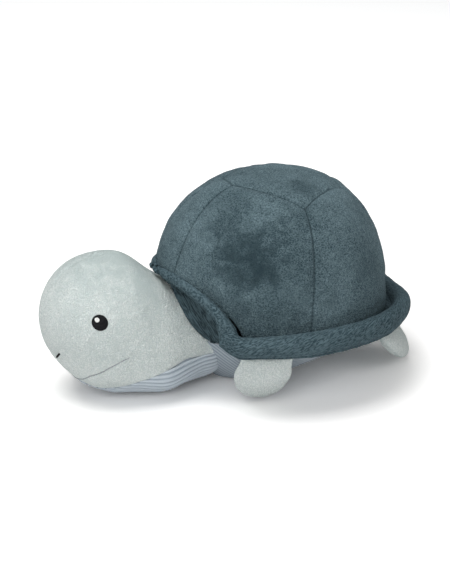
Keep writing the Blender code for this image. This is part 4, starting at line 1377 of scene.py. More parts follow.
@dataclass(frozen=True)
class Shell:
    """The domed shell of seven panels, its brim, its arch and its belly."""

    form: ShellForm
    brim: BrimForm
    belly: BellyForm
    wide_columns: int = 24
    narrow_columns: int = 10
    crown_rows: int = 14
    side_rows: int = 26
    edge_columns: int = 130
    upper_rows: int = 14
    under_rows: int = 7
    edge_sewing: Sewing = Sewing(dip=1.1 * MM, seam_width=2.6 * MM, rest_depth=0.2 * MM, puff=0.8 * MM,
                                 clump=0.5 * MM)
    arch_columns: int = 90
    face_rows: int = 22
    back_rows: int = 16
    arch_sewing: Sewing = Sewing(dip=0.0, rest_depth=0.0, puff=0.6 * MM, clump=0.5 * MM)
    gusset_columns: int = 120
    gusset_rows: int = 6
    gusset_sewing: Sewing = Sewing(dip=0.0, rest_depth=0.0, puff=0.5 * MM, levels=1)
    belly_columns: int = 150
    belly_rows: int = 26
    belly_sewing: Sewing = Sewing(rest_depth=0.0, puff=0.0, levels=1, clump=0.1 * MM)
    front_seam: float = math.radians(13.0)
    side_seam: float = math.radians(88.0)
    rear_seam: float = math.radians(160.0)
    tuck: float = 4.0 * MM
    back_sink: float = 4.0 * MM
    back_sink_from: float = 0.15
    face_reach: float = 0.965
    back_reach: float = 0.93
    fold_depth: float = 0.8 * MM
    fold_count: float = 3.2
    fold_wander: float = 0.12
    gusset_depth: float = 3.0 * MM
    gusset_drop: float = 5.0 * MM
    gusset_lap: float = 0.05
    roll_start: float = -0.012
    roll_length: float = 2.024
    bowl_stretch: float = 1.15
    belly_gather: float = 0.8
    neck_cover: float = 3.0 * MM
    neck_cover_back: float = 20.0 * MM

    def low_limit(self, angle: float) -> float:
        """Height at which the shell's fabric goes behind the arch at an angle."""
        share = wrapped(angle) / self.brim.corner_angle
        return self.brim.ridge(share).z - self.tuck if abs(share) < 1.0 else 0.0

    def side_place(self, index: int, low_start: float, low_end: float) -> Place:
        """Lay a side panel from one edge of the crown down to the rim or the arch.

        Args:
            index: Number of the crown's edge.
            low_start: Angle at which the panel's first side meets the rim.
            low_end: Angle at which its other side meets the rim.

        Returns:
            Where the panel's corners lie.
        """
        corners = self.form.corners()
        start, end = corners[index], corners[(index + 1) % 6]

        def place(across: float, down: float) -> Vector:
            """Place of a share across and down the panel.

            Args:
                across: Share across the panel.
                down: Share down the panel.

            Returns:
                The place.
            """
            angle, rho = self.form.crown_place(start.lerp(end, across))
            low = blend(low_start, low_end, across)
            angle += math.tau * round((low - angle) / math.tau)
            row = self.form.rho_to_row(rho)

            def spot(share: float) -> tuple[float, Vector]:
                """Angle and place at a share of the way down to the rim."""
                at = blend(angle, low, share)
                return at, self.form.point(at, self.form.row_to_rho(blend(row, 1.0, share)))

            reach = 1.0
            if spot(1.0)[1].z < self.low_limit(spot(1.0)[0]):
                near, far = 0.0, 1.0
                for _ in range(HALVINGS):
                    reach = (near + far) / 2
                    at, there = spot(reach)
                    near, far = (reach, far) if there.z > self.low_limit(at) else (near, reach)
            return spot(down * reach)[1]

        return place

    def crown_cut(self) -> Cut:
        """Cut the six-sided panel on top.

        Returns:
            The panel.
        """
        corners = self.form.corners()
        counts = (self.narrow_columns, self.wide_columns, self.wide_columns,
                  self.narrow_columns, self.wide_columns, self.wide_columns)
        total = sum(counts)

        def place(across: float, down: float) -> Vector:
            """Place of a share round and out from the middle.

            Args:
                across: Share round the panel's edge.
                down: Share out from the middle.

            Returns:
                The place.
            """
            position = across * total
            index = 0
            while index < 5 and position > counts[index] + ROUNDING:
                position -= counts[index]
                index += 1
            edge = corners[index].lerp(corners[(index + 1) % 6], min(1.0, position / counts[index]))
            angle, rho = self.form.crown_place(edge * math.sin(math.pi / 2 * down))
            return self.form.point(angle, rho)

        return Cut("crown_cover", place, total, self.crown_rows, ("shell_top_panel",), Body.SHELL.value,
                   Slot.SHELL, seams="d", held="d", closed=True, flip=True)

    def cuts(self) -> list[Cut]:
        """Cut the shell's panels.

        Returns:
            The panels.
        """
        front, side, rear = self.front_seam, self.side_seam, self.rear_seam
        seams = (-front, front, side, rear, math.tau - rear, math.tau - side, math.tau - front)
        names = ("front", "front_left", "rear_left", "rear", "rear_right", "front_right")
        made = [self.crown_cut()]
        for index, name in enumerate(names):
            columns = self.narrow_columns if name in ("front", "rear") else self.wide_columns
            nodes = (f"shell_{name}_panel",) + (("body_filling",) if name == "front" else ())
            place = self.side_place(index, seams[index], seams[index + 1])
            made.append(Cut(f"shell_{name}_cover", place, columns, self.side_rows, nodes, Body.SHELL.value,
                            Slot.SHELL, seams="lru", flip=True))
        return made

    def brim_cuts(self) -> list[Cut]:
        """Cut the bands of the padded edge's two halves and of the arch.

        Returns:
            The panels.
        """
        made = []
        hidden, low = self.brim.seam_hidden, self.brim.seam_low
        bands = (("upper", hidden - math.tau, low, self.upper_rows), ("under", low, hidden, self.under_rows))
        for side in Side:
            for part, start, end, rows in bands:
                def place(across: float, down: float, ends: tuple[float, float] = (start, end),
                          hand: float = side.value) -> Vector:
                    """Place of a share along and round the padded edge."""
                    along = self.roll_length * across + self.roll_start
                    return self.brim.roll(along, blend(ends[0], ends[1], down), hand)

                nodes = (f"brim_{side.word}_{part}_band",)
                nodes += (f"brim_{side.word}_filling",) if part == "upper" else ()
                made.append(Cut(f"brim_{side.word}_{part}_cover", place, self.edge_columns, rows, nodes,
                                Body.SHELL.value, Slot.SHELL, "edge", self.edge_sewing, seams="ud",
                                flip=side is Side.LEFT))
        made.append(self.gusset_cut())
        made += self.arch_cuts()
        return made

    def gusset_cut(self) -> Cut:
        """Cut the strip by which the padded edge is sewn to the shell.

        Returns:
            The panel.
        """
        start = self.brim.corner_angle - self.gusset_lap

        def place(across: float, down: float) -> Vector:
            """Place of a share along the strip and out from the shell.

            Args:
                across: Share across the panel.
                down: Share down the panel.

            Returns:
                The place.
            """
            middle, _, out = self.brim.cross(blend(start, math.tau - start, across))
            shell = self.form.middle + Vector(((self.form.half_width - self.gusset_depth) * out.x,
                                               (self.form.half_length - self.gusset_depth) * out.y,
                                               self.form.rim_height))
            return shell.lerp(middle - Vector((0.0, 0.0, self.gusset_drop)), down)

        return Cut("edge_gusset", place, self.gusset_columns, self.gusset_rows, (), Body.SHELL.value,
                   Slot.SHELL, "edge", self.gusset_sewing, seams="", flip=True)

    def arch_cuts(self) -> list[Cut]:
        """Cut the face and the back of the arch over the neck.

        Returns:
            The panels.
        """
        def face(across: float, down: float) -> Vector:
            """Place of a share along the arch and up its face."""
            share = math.sin(math.pi / 2 * (2.0 * across - 1.0)) * self.face_reach
            return self.folded(self.brim.arch_point(share, 3.0 * down), share, down)

        def back(across: float, down: float) -> Vector:
            """Place of a share along the arch and down its back.

            Args:
                across: Share across the panel.
                down: Share down the panel.

            Returns:
                The place.
            """
            share = math.sin(math.pi / 2 * (2.0 * across - 1.0)) * self.back_reach
            sunk = self.back_sink * math.sin(math.pi * min(1.0, self.back_sink_from + down))
            return self.brim.arch_point(share, 3.0 + 3.0 * down) - Vector((0.0, 0.0, sunk))

        # The face takes the band finish, a darker copy of the shell fabric that paints the shade under the
        # arch
        plan = (("face", face, self.face_rows, ("brim_front_face", "brim_front_filling"), "band"),
                ("back", back, self.back_rows, ("brim_front_back",), "edge"))
        return [Cut(f"arch_{part}_cover", place, self.arch_columns, rows, nodes, Body.SHELL.value, Slot.SHELL,
                    finish, self.arch_sewing, seams="") for part, place, rows, nodes, finish in plan]

    def folded(self, place: Vector, share: float, down: float) -> Vector:
        """Press the long creases into the arch's face.

        Args:
            place: The place.
            share: From -1 at the arch's right corner to 1 at its left one.
            down: Share down the panel.

        Returns:
            The place.
        """
        out = self.brim.cross(share * self.brim.corner_angle)[2]
        wander = self.fold_wander * noise.noise(Vector((share * 3.0, 0.0, 5.0)))
        middle = math.sin(math.pi * min(1.0, max(0.0, down)))
        fold = math.sin((down + wander) * self.fold_count * math.tau) * middle * self.fold_depth
        return place + out * (fold - self.brim.recess * middle)

    def lengthwise(self, spot: Vector) -> float:
        """Distance of a place from the belly's middle line, over its bowl."""
        return math.copysign(math.hypot(spot.x, spot.z * self.bowl_stretch), spot.x) * self.belly_gather

    def belly_cut(self) -> Cut:
        """Cut the ribbed belly.

        Returns:
            The panel.
        """
        def place(across: float, down: float) -> Vector:
            """Place of a share round the belly and up from its flat."""
            return self.belly.point(math.tau * across, down)

        def in_neck(spot: Vector) -> bool:
            """Whether a place lies inside the neck."""
            near = spot.y < self.brim.head.pivot.y + self.neck_cover_back
            return near and self.brim.head.depth_inside(spot) > self.neck_cover

        # The belly takes its own ribbed finish, painted darker as the shade under the shell
        return Cut("belly_cover", place, self.belly_columns, self.belly_rows, ("belly_panel",),
                   Body.SHELL.value, Slot.RIBBED, "belly", self.belly_sewing, seams="", held="d", closed=True,
                   weave=self.lengthwise, trim=in_neck)


@dataclass(frozen=True)
class Head:
    """The head and neck: two cheek panels and a ribbed chin, with an embroidered face."""

    form: HeadForm
    cheek_columns: int = 30
    cheek_rows: int = 46
    cheek_sewing: Sewing = Sewing(dip=1.0 * MM, seam_width=2.2 * MM, rest_depth=0.3 * MM, puff=0.9 * MM,
                                  clump=0.16 * MM)
    chin_columns: int = 132
    chin_rows: int = 34
    chin_sewing: Sewing = Sewing(dip=1.0 * MM, seam_width=2.2 * MM, rest_depth=0.3 * MM, puff=0.7 * MM,
                                 levels=1, clump=0.1 * MM, rib=1.1 * MM)
    nose_row: float = 0.002
    chin_tip_gap: float = 0.0005
    chin_end_pull: float = 0.4
    chin_axis_height: float = 52.0 * MM
    chin_width: float = 44.0 * MM
    eye_row: float = 0.328
    eye_turn: float = math.radians(70.0)
    eye_radius: float = 5.7 * MM
    eye_height: float = 1.1 * MM
    eye_lift: float = 0.1 * MM
    eye_strands: int = 15
    glint_radius: float = 1.7 * MM
    glint_height: float = 0.45 * MM
    glint_lift: float = 0.05 * MM
    glint_seat: float = 0.8
    glint_rise: float = 2.1 * MM
    glint_forward: float = 1.7 * MM
    glint_strands: int = 5
    nostril_row: float = 0.150
    nostril_turn: float = math.radians(134.0)
    nostril_length: float = 8.5 * MM
    nostril_slant: float = math.radians(82.0)
    nostril_lift: float = 0.25 * MM
    nostril_twist: float = 5.0
    nostril_thickness: float = 1.8
    thread_radius: float = 0.42 * MM
    mouth_lift: float = 0.2 * MM
    mouth_twist: float = 46.0
    mouth_rows: tuple[float, ...] = (0.438, 0.403, 0.357, 0.322, 0.289, 0.262, 0.250)
    mouth_turns: tuple[float, ...] = (0.550, 0.572, 0.617, 0.667, 0.728, 0.860, 1.0)

    def cuts(self) -> list[Cut]:
        """Cut the cheeks and the chin.

        Returns:
            The panels.
        """
        made = []
        for side in Side:
            def cheek(across: float, down: float, hand: float = side.value) -> Vector:
                """Place of a share round from the top seam and back from the nose.

                Args:
                    across: Share across the panel.
                    down: Share down the panel.
                    hand: Sign of the side.

                Returns:
                    The place.
                """
                row = max(down, self.nose_row)
                place = self.form.point(row, across * (math.pi - self.form.chin_half(row)))
                place.x *= hand
                return place

            nodes = (f"head_{side.word}_panel",) + (("head_filling",) if side is Side.LEFT else ())
            made.append(Cut(f"cheek_{side.word}_cover", cheek, self.cheek_columns, self.cheek_rows, nodes,
                            Body.HEAD.value, Slot.SKIN, sewing=self.cheek_sewing, seams="lr",
                            flip=side is Side.RIGHT))

        def chin(across: float, down: float) -> Vector:
            """Place of a share across the chin and back from its tip.

            Args:
                across: Share across the panel.
                down: Share down the panel.

            Returns:
                The place.
            """
            pulled = down * (1.0 - self.chin_end_pull + self.chin_end_pull * down)
            row = blend(self.form.chin_tip_share + self.chin_tip_gap, 1.0, pulled)
            return self.form.point(row, math.pi + self.form.chin_half(row) * (2.0 * across - 1.0))

        made.append(Cut("chin_cover", chin, self.chin_columns, self.chin_rows, ("chin_panel",),
                        Body.HEAD.value, Slot.RIBBED, sewing=self.chin_sewing, seams="lr",
                        weave=self.lengthwise))
        return made

    def lengthwise(self, spot: Vector) -> float:
        """Distance of a place on the chin from its middle line."""
        return math.atan2(spot.x, self.chin_axis_height - spot.z) * self.chin_width

    def frame_at(self, row: float, turn: float, hand: float = 1.0) -> tuple[Vector, Vector, Vector, Vector]:
        """Find a place on the head and the directions round it.

        Args:
            row: Row of the head's form.
            turn: Angle round it.
            hand: Sign of the side.

        Returns:
            The place, its normal and the directions back and down along the head.
        """
        step = 0.02
        place = self.form.point(row, turn)
        back = (self.form.point(row + step, turn) - self.form.point(row - step, turn)).normalized()
        down = (self.form.point(row, turn + step) - self.form.point(row, turn - step)).normalized()
        found = (place, down.cross(back).normalized(), back, down)
        for vector in found:
            vector.x *= hand
        return found


@dataclass
class Stitch:
    """A piece of embroidery laid on the finished head."""

    name: str
    node: str
    slot: Slot


@dataclass(frozen=True)
class Face:
    """Embroidery on the head: eyes with their glints, nostrils and the mouth."""

    head: Head
    covers: Sequence[bpy.types.Object]
    finishes: dict[Union[Slot, str], bpy.types.Material]
    skins: list[BVHTree] = field(default_factory=list)
    disc_columns: int = 48
    disc_rows: int = 14
    top_share: float = 0.8
    dome_power: float = 0.8
    strand_slant: float = 0.35
    strand_relief: float = 0.09 * MM
    tuck: float = 0.5 * MM
    thread_columns: int = 12
    thread_rows: int = 24
    rows_a_place: int = 6
    thread_side: tuple[float, float, float] = (0.3, 0.2, 1.0)
    nostril_steps: int = 10
    mouth_steps: int = 8
    mouth_passes: int = 3
    twist_relief: float = 0.16
    end_power: int = 24

    def seated(self, place: Vector, normal: Vector, reach: float = 6.0 * MM) -> Vector:
        """Bring a place onto the finished skin along a normal.

        Args:
            place: The place.
            normal: The normal.
            reach: How far away the skin may lie.

        Returns:
            The place on the skin, or the same place where there is no skin.
        """
        if not self.skins:
            graph = bpy.context.evaluated_depsgraph_get()
            self.skins.extend(BVHTree.FromObject(cover, graph) for cover in self.covers)
        found = [skin.ray_cast(place + normal * reach, -normal, reach * 2.0)[0] for skin in self.skins]
        return max((spot for spot in found if spot is not None),
                   key=lambda spot: (spot - place).dot(normal), default=place)

    def lay(self, stitch: Stitch, place: Place, columns: int, rows: int, flip: bool) -> None:
        """Lay a closed surface of stitches and put it in its place.

        Args:
            stitch: What it is.
            place: Where its corners lie.
            columns: Steps round it.
            rows: Steps along it.
            flip: Whether its faces are turned over.
        """
        piece, flat = flat_grid(stitch.name, columns, rows)
        move_points(piece, np.array([place(float(u), float(v)) for u, v, _ in flat]))
        if flip:
            piece.data.flip_normals()
        close_mesh(piece, STITCH_JOIN, True)
        apply_modifier(piece, "SUBSURF", levels=1, render_levels=1)
        dress(piece, self.finishes[stitch.slot], Body.HEAD.value, (stitch.node,), stitch.slot)

    def disc(self, stitch: Stitch, centre: Vector, frame: tuple[Vector, Vector, Vector], radius: float,
             height: float, base: float, strands: int) -> None:
        """Embroider a domed disc whose stitches lie side by side.

        Args:
            stitch: What it is.
            centre: Its middle before it is seated on the skin.
            frame: Normal, back and down directions.
            radius: Radius of the disc.
            height: How far it stands up in the middle.
            base: How far its edge lies above the skin.
            strands: How many stitches lie across it.
        """
        normal, back, down = frame
        slant = (down + back * self.strand_slant).normalized()

        def place(around: float, reach: float) -> Vector:
            """Place of a share round the disc and out to its tucked edge.

            Args:
                around: Share round it.
                reach: Share out from its middle.

            Returns:
                The place.
            """
            turn = math.tau * around
            lap = min(1.0, reach / self.top_share)
            arm = (back * math.cos(turn) + down * math.sin(turn)) * radius * math.sin(math.pi / 2 * lap)
            spot = self.seated(centre + arm, normal)
            dome = math.cos(math.pi / 2 * lap) ** self.dome_power
            strand = self.strand_relief * math.sin(arm.dot(slant) / (radius * 2.0) * math.tau * strands)
            under = -self.tuck * max(0.0, reach - self.top_share) / (1.0 - self.top_share)
            return spot + normal * (base + height * dome + strand * min(1.0, dome * 3.0) + under)

        self.lay(stitch, place, self.disc_columns, self.disc_rows, True)

    def thread(self, stitch: Stitch, route: Sequence[Vector], radius: float, twist: float) -> None:
        """Lay a twisted thread along a route.

        Args:
            stitch: What it is.
            route: Places along it.
            radius: Radius of the thread.
            twist: Turns of its strands over its whole length.
        """
        last = len(route) - 1

        def place(around: float, along: float) -> Vector:
            """Place of a share round and along the thread.

            Args:
                around: Share round it.
                along: Share along the thread.

            Returns:
                The place.
            """
            position = along * last
            index = min(int(position), last - 1)
            spot = route[index].lerp(route[index + 1], position - index)
            ahead = (route[min(last, index + 2)] - route[max(0, index - 1)]).normalized()
            first = ahead.cross(Vector(self.thread_side)).normalized()
            second = ahead.cross(first)
            turn = math.tau * around
            end = math.sqrt(max(0.0, 1.0 - abs(2.0 * along - 1.0) ** self.end_power))
            strand = 1.0 + self.twist_relief * math.cos(2.0 * turn - twist * math.tau * along)
            return spot + (first * math.cos(turn) + second * math.sin(turn)) * radius * end * strand

        rows = max(self.thread_rows, self.rows_a_place * len(route))
        self.lay(stitch, place, self.thread_columns, rows, False)

    def build(self) -> None:
        """Embroider the whole face."""
        head = self.head
        for side in Side:
            word = side.word
            place, *frame = head.frame_at(head.eye_row, head.eye_turn, side.value)
            normal, back, down = frame
            glint = place + normal * (head.eye_height * head.glint_seat)
            glint += -down * head.glint_rise - back * head.glint_forward
            self.disc(Stitch(f"{word}_eye_disc", f"{word}_eye", Slot.BLACK), place, frame,
                      head.eye_radius, head.eye_height, head.eye_lift, head.eye_strands)
            self.disc(Stitch(f"{word}_eye_glint", f"{word}_eye_highlight", Slot.WHITE), glint, frame,
                      head.glint_radius, head.glint_height, head.eye_height + head.glint_lift,
                      head.glint_strands)
            place, normal, back, down = head.frame_at(head.nostril_row, head.nostril_turn, side.value)
            arm = back * math.cos(head.nostril_slant) - down * math.sin(head.nostril_slant)
            arm *= head.nostril_length
            shares = [step / self.nostril_steps - 0.5 for step in range(self.nostril_steps + 1)]
            route = [self.seated(place + arm * share, normal) + normal * head.nostril_lift
                     for share in shares]
            self.thread(Stitch(f"{word}_nostril_stitch", f"{word}_nostril", Slot.BLACK), route,
                        head.thread_radius * head.nostril_thickness, head.nostril_twist)
        self.thread(Stitch("mouth_line", "mouth_stitch", Slot.GREY), self.mouth_route(), head.thread_radius,
                    head.mouth_twist)

    def mouth_route(self) -> list[Vector]:
        """Route of the mouth from the left cheek round to the right one.

        Returns:
            The places along it.
        """
        head = self.head
        steps = self.mouth_steps
        spans = len(head.mouth_rows) - 1
        half = []
        for index in range(spans * steps + 1):
            span, share = min(index // steps, spans - 1), index % steps / steps
            if index == spans * steps:
                share = 1.0
            row = blend(head.mouth_rows[span], head.mouth_rows[span + 1], share)
            turn = blend(head.mouth_turns[span], head.mouth_turns[span + 1], share) * math.pi
            place, normal, _, _ = head.frame_at(row, turn)
            half.append(self.seated(place, normal) + normal * head.mouth_lift)
        route = half + [Vector((-spot.x, spot.y, spot.z)) for spot in reversed(half[:-1])]
        for _ in range(self.mouth_passes):
            route = [route[0]] + [(route[index - 1] + route[index] * 2.0 + route[index + 1]) / 4.0
                                  for index in range(1, len(route) - 1)] + [route[-1]]
        return route


@dataclass(frozen=True)
class Foot:
    """One stuffed foot of two panels."""

    name: str
    form: FootForm
    columns: int = 20
    rows: int = 26
    sewing: Sewing = Sewing(dip=0.5 * MM, seam_width=1.8 * MM, rest_depth=0.1 * MM, puff=1.0 * MM,
                            clump=0.14 * MM, thickness=1.0 * MM)
    tip_share: float = 0.9995
    root_share: float = 0.98

    def cuts(self) -> list[Cut]:
        """Cut the upper and the under panel.

        Returns:
            The panels.
        """
        made = []
        for part, start in (("upper", 0.0), ("under", math.pi)):
            def place(across: float, down: float, start: float = start) -> Vector:
                """Place of a share round the foot and from its root to its tip.

                Args:
                    across: Share across the panel.
                    down: Share down the panel.
                    start: Angle at which the panel starts.

                Returns:
                    The place.
                """
                station = blend(-1.0, 1.0, down)
                station = math.sin(math.pi / 2 * station) if station > 0.0 else station * self.root_share
                return self.form.point(min(station, self.tip_share), start + math.pi * across)

            nodes = (f"{self.name}_{part}_panel",) + ((f"{self.name}_filling",) if part == "upper" else ())
            made.append(Cut(f"{self.name}_{part}_cover", place, self.columns, self.rows, nodes, self.name,
                            Slot.SKIN, sewing=self.sewing, seams="lrd", flip=self.form.axes()[2]))
        return made


@dataclass(frozen=True)
class Neck:
    """The ball of fibre on which the head turns, with its stem back into the body."""

    form: HeadForm
    ball: float = 27.5 * MM
    stem: float = 12.0 * MM
    reach: float = 39.0 * MM
    stem_from: float = 0.75
    dent: float = 0.4 * MM
    dent_size: float = 11.0 * MM
    least_width: float = 0.01 * MM
    segments: int = 48
    rings: int = 24

    def placed(self, spot: Vector) -> Vector:
        """Draw a place of the plain ball out to the stem, and dent it.

        Args:
            spot: The place, from the ball's middle.

        Returns:
            Its place in the turtle.
        """
        if spot.y > self.ball * self.stem_from:
            share = (spot.y / self.ball - self.stem_from) / (1.0 - self.stem_from)
            across = Vector((spot.x, 0.0, spot.z))
            width = max(across.length, self.least_width)
            spot = across * (min(1.0, blend(1.0, self.stem / width, share)) if share < 1.0 else 0.0)
            spot.y = blend(self.ball * self.stem_from, self.reach, share)
        dent = noise.noise(spot / self.dent_size) * self.dent
        return self.form.pivot + spot * (1.0 + dent / self.ball)

    def build(self, material: bpy.types.Material) -> None:
        """Make the piece.

        Args:
            material: Its finish.
        """
        bpy.ops.object.select_all(action="DESELECT")
        bpy.ops.mesh.primitive_uv_sphere_add(segments=self.segments, ring_count=self.rings,
                                             radius=self.ball)
        piece = bpy.context.active_object
        piece.name = "neck_core"
        piece.data.name = "neck_core"
        move_points(piece, np.array([self.placed(Vector((x, z, y))) for x, y, z in points_of(piece)]))
        close_mesh(piece, 0.0, True)
        dress(piece, material, Body.NECK.value, ("neck_filling",), Slot.FIBRE)


# Stage


@dataclass(frozen=True)
class Lamp:
    """A soft square lamp, placed from the middle of the picture."""

    name: str
    place: tuple[float, float, float]
    power: float
    size: float

    def build(self, target: Vector) -> None:
        """Hang the lamp so that it shines on the turtle.

        Args:
            target: The middle of the picture.
        """
        place = Vector(self.place)
        bpy.ops.object.light_add(type="AREA", location=target + place)
        lamp = bpy.context.active_object
        lamp.name = self.name
        lamp.rotation_mode = "QUATERNION"
        lamp.rotation_quaternion = place.to_track_quat("Z", "Y")
        lamp.data.energy = self.power
        lamp.data.size = self.size


@dataclass(frozen=True)
class Studio:
    """Camera, lamps and the pale floor of the photograph."""

    target: Vector
    azimuth: float = math.radians(70.0)
    elevation: float = math.radians(22.0)
    distance: float = 1.1
    sensor: float = 36.0
    pixels_per_metre: float = 1350.0
    picture_height: float = 563.0
    clip_near: float = 0.05
    clip_far: float = 20.0
    lamps: tuple[Lamp, ...] = (Lamp("front_lamp", (1.05, -0.80, 0.62), 9.0, 1.0),
                               Lamp("side_lamp", (1.00, 0.75, 0.75), 4.5, 0.8),
                               Lamp("top_lamp", (-0.02, -0.40, 1.6), 23.0, 1.2))
    fill: float = 0.22
    floor_size: float = 14.0
    floor_colour: Colour = (0.80, 0.80, 0.80)
    floor_seen_colour: Colour = (1.22, 1.21, 1.20)
    glow_colour: Colour = (0.95, 0.98, 1.0)
    glow_from: float = 0.2
    glow_until: float = 1.0
    glow_strength: float = 0.35

    def camera(self) -> None:
        """Set the camera up."""
        level = math.cos(self.elevation)
        back = Vector((math.sin(self.azimuth) * level, -math.cos(self.azimuth) * level,
                       math.sin(self.elevation)))
        bpy.ops.object.camera_add(location=self.target + back * self.distance)
        camera = bpy.context.active_object
        camera.rotation_mode = "QUATERNION"
        camera.rotation_quaternion = back.to_track_quat("Z", "Y")
        camera.data.sensor_width = self.sensor
        camera.data.lens = self.sensor * self.pixels_per_metre * self.distance / self.picture_height
        camera.data.clip_start = self.clip_near
        camera.data.clip_end = self.clip_far
        bpy.context.scene.camera = camera

    def floor(self) -> None:
        """Lay the white floor, which keeps the shadow."""
        graph = Graph(bpy.data.materials.new("studio_floor"))
        seen = graph.node("ShaderNodeLightPath", output="Is Camera Ray")
        pale = graph.mixed(seen, self.floor_colour, self.floor_seen_colour)
        plain = graph.node("ShaderNodeBsdfDiffuse", sockets={"Color": pale})
        away = graph.distance(graph.coordinates(), self.target)
        strength = seen * graph.stepped(away, self.glow_from, self.glow_until) * self.glow_strength
        glow = graph.node("ShaderNodeEmission", sockets={
            "Color": (*self.glow_colour, 1.0), "Strength": strength})
        surface = graph.node("ShaderNodeAddShader", sockets={0: plain, 1: glow})
        graph.node("ShaderNodeOutputMaterial", sockets={"Surface": surface})
        bpy.ops.mesh.primitive_plane_add(size=self.floor_size)
        sheet = bpy.context.active_object
        sheet.name = "studio_sheet"
        sheet.data.materials.append(graph.owner)

    def world(self) -> None:
        """Fill the room with pale light."""
        graph = Graph(bpy.data.worlds.new("studio_air"))
        bpy.context.scene.world = graph.owner
        seen = graph.node("ShaderNodeLightPath", output="Is Camera Ray")
        strength = graph.node("ShaderNodeMapRange", sockets={
            "Value": seen, "To Min": self.fill, "To Max": 1.0})
        white = (1.0, 1.0, 1.0, 1.0)
        air = graph.node("ShaderNodeBackground", sockets={"Color": white, "Strength": strength})
        graph.node("ShaderNodeOutputWorld", sockets={"Surface": air})

    def build(self) -> None:
        """Set up the whole stage."""
        self.camera()
        for lamp in self.lamps:
            lamp.build(self.target)
        self.floor()
        self.world()
        bpy.context.scene.view_settings.view_transform = "Standard"


def marks_at(middle: Vector, marks: Sequence[tuple]) -> tuple[tuple[Colour, float, float], ...]:
    """Place the marks, brushed nap on the shell and painted shade on the head, given in millimetres from the
    middle of the shell's rim.

    Args:
        middle: The middle of the shell's rim on the floor.
        marks: Place, size and depth of each mark.

    Returns:
        The same marks in metres.
    """
    return tuple((tuple(middle + Vector(place) * MM), size * MM, depth) for place, size, depth in marks)


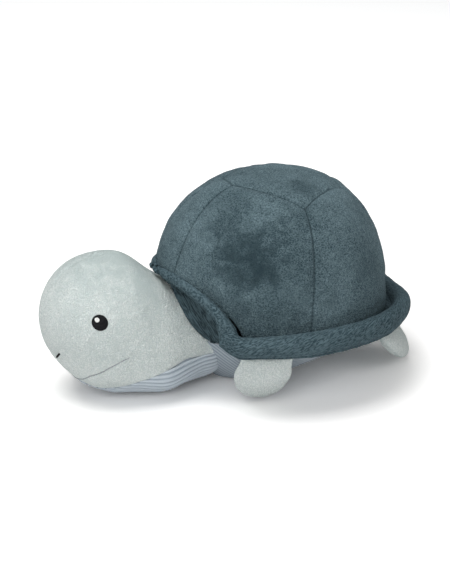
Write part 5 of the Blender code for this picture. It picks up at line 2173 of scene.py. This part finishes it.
def finishes(middle: Vector) -> dict[Union[Slot, str], bpy.types.Material]:
    """Make every finish.

    Args:
        middle: The middle of the shell's rim on the floor.

    Returns:
        The finish of each material slot, of the edge of shell fabric, and of the arch's band and the belly,
        darker copies that paint shade.
    """
    deep, light = (0.016, 0.034, 0.043), (0.185, 0.268, 0.300)
    plan = {
        Slot.SHELL: PileFinish("shell_plush_finish", deep, light, stretch=(1.0, 0.8, 1.15),
                               grain_size=0.85 * MM, patch_share=0.22, clump_share=0.10, grain_share=0.66,
                               contrast=0.19, smudges=marks_at(middle, SHELL_MARKS)),
        "edge": PileFinish("shell_edge_finish", deep, (0.096, 0.146, 0.168), stretch=(0.30, 1.0, 1.0),
                           grain_size=0.95 * MM, clump_share=0.16, grain_share=0.70, contrast=0.13,
                           strand_lay=math.radians(24.0)),
        # Painted shade: the arch's band is a darker copy of the shell fabric, standing for the shade under
        # the arch and the head
        "band": PileFinish("shell_band_finish", (0.008, 0.017, 0.022), (0.066, 0.104, 0.120),
                           stretch=(0.20, 1.0, 1.0), grain_size=1.1 * MM, clump_share=0.30,
                           grain_share=0.66, contrast=0.10, relief=1.6 * MM,
                           strand_lay=math.radians(-6.0)),
        # The head's marks are painted shade over its top and upper sides
        Slot.SKIN: PileFinish("skin_velour_finish", (0.55, 0.64, 0.63), (0.92, 0.965, 0.945),
                              stretch=(1.0, 1.0, 1.0), clump_size=3.0 * MM, grain_size=0.90 * MM,
                              patch_share=0.22, clump_share=0.13, grain_share=0.60, relief=1.5 * MM,
                              sheen=0.1, seam_depth=0.5, smudges=marks_at(middle, SKIN_SHADE_MARKS)),
        Slot.RIBBED: RibFinish("ribbed_plush_finish", (0.26, 0.31, 0.36), (0.55, 0.61, 0.66)),
        # Painted shade: the belly's ribs are a darker copy of the chin's ribbed fabric, standing for the
        # shade under the shell
        "belly": RibFinish("belly_ribs_finish", (0.16, 0.20, 0.235), (0.38, 0.43, 0.475)),
        Slot.FIBRE: PileFinish("fibre_finish", (0.62, 0.62, 0.60), (0.90, 0.90, 0.88)),
        Slot.BLACK: ThreadFinish("black_thread_finish", (0.002, 0.002, 0.003), (0.008, 0.008, 0.010)),
        Slot.WHITE: ThreadFinish("white_thread_finish", (0.62, 0.62, 0.60), (0.86, 0.86, 0.84)),
        Slot.GREY: ThreadFinish("grey_thread_finish", (0.24, 0.27, 0.285), (0.40, 0.43, 0.45)),
    }
    return {key: finish.build() for key, finish in plan.items()}


def joint_named(name: str) -> dict:
    """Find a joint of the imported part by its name."""
    return next(joint for joint in frame["joints"] if joint["name"] == name)


def make_feet() -> list[Foot]:
    """Plan the four feet round the axes on which they swing.

    Returns:
        The feet, from the front left to the rear right.
    """
    made = []
    for end, (slope, sweep, length, half_width) in FEET.items():
        for side in Side:
            name = f"{end}_{side.word}_foot"
            joint = joint_named(f"{name}_swing")
            width = -Vector(joint["axis"]).normalized()
            made.append(Foot(name, FootForm(Vector(joint["pos_m"]), width, side.value, math.radians(slope),
                                            math.radians(sweep), length, half_width)))
    return made


def main() -> None:
    """Build the turtle's looks round its solids."""
    logging.basicConfig(level=logging.INFO, format="%(message)s")
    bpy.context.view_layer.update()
    pivot = Vector(joint_named("head_turn")["pos_m"])
    middle = Vector((0.0, pivot.y + PIVOT_TO_MIDDLE, 0.0))
    head_form = HeadForm(pivot, middle + Vector(HEAD_PLACE))
    shell_form = ShellForm(middle)
    brim_form = BrimForm(shell_form, head_form)
    shell = Shell(shell_form, brim_form, BellyForm(shell_form, brim_form))
    head = Head(head_form)
    cuts = shell.cuts() + shell.brim_cuts() + [shell.belly_cut()] + head.cuts()
    for foot in make_feet():
        cuts += foot.cuts()
    for cut in cuts:
        lay_panel(cut)
    stuff([cut for cut in cuts if cut.sewing.puff > 0.0])
    made = finishes(middle)
    covers = {}
    for cut in cuts:
        if cut.trim is not None:
            trim_panel(cut)
        covers[cut.name] = sew(cut, made[cut.finish or cut.slot])
    skins = [covers[name] for name in ("cheek_left_cover", "cheek_right_cover", "chin_cover")]
    Face(head, skins, made).build()
    Neck(head_form).build(made[Slot.FIBRE])
    Studio(middle + Vector(PICTURE_MIDDLE)).build()


if __name__ == "__main__":
    main()
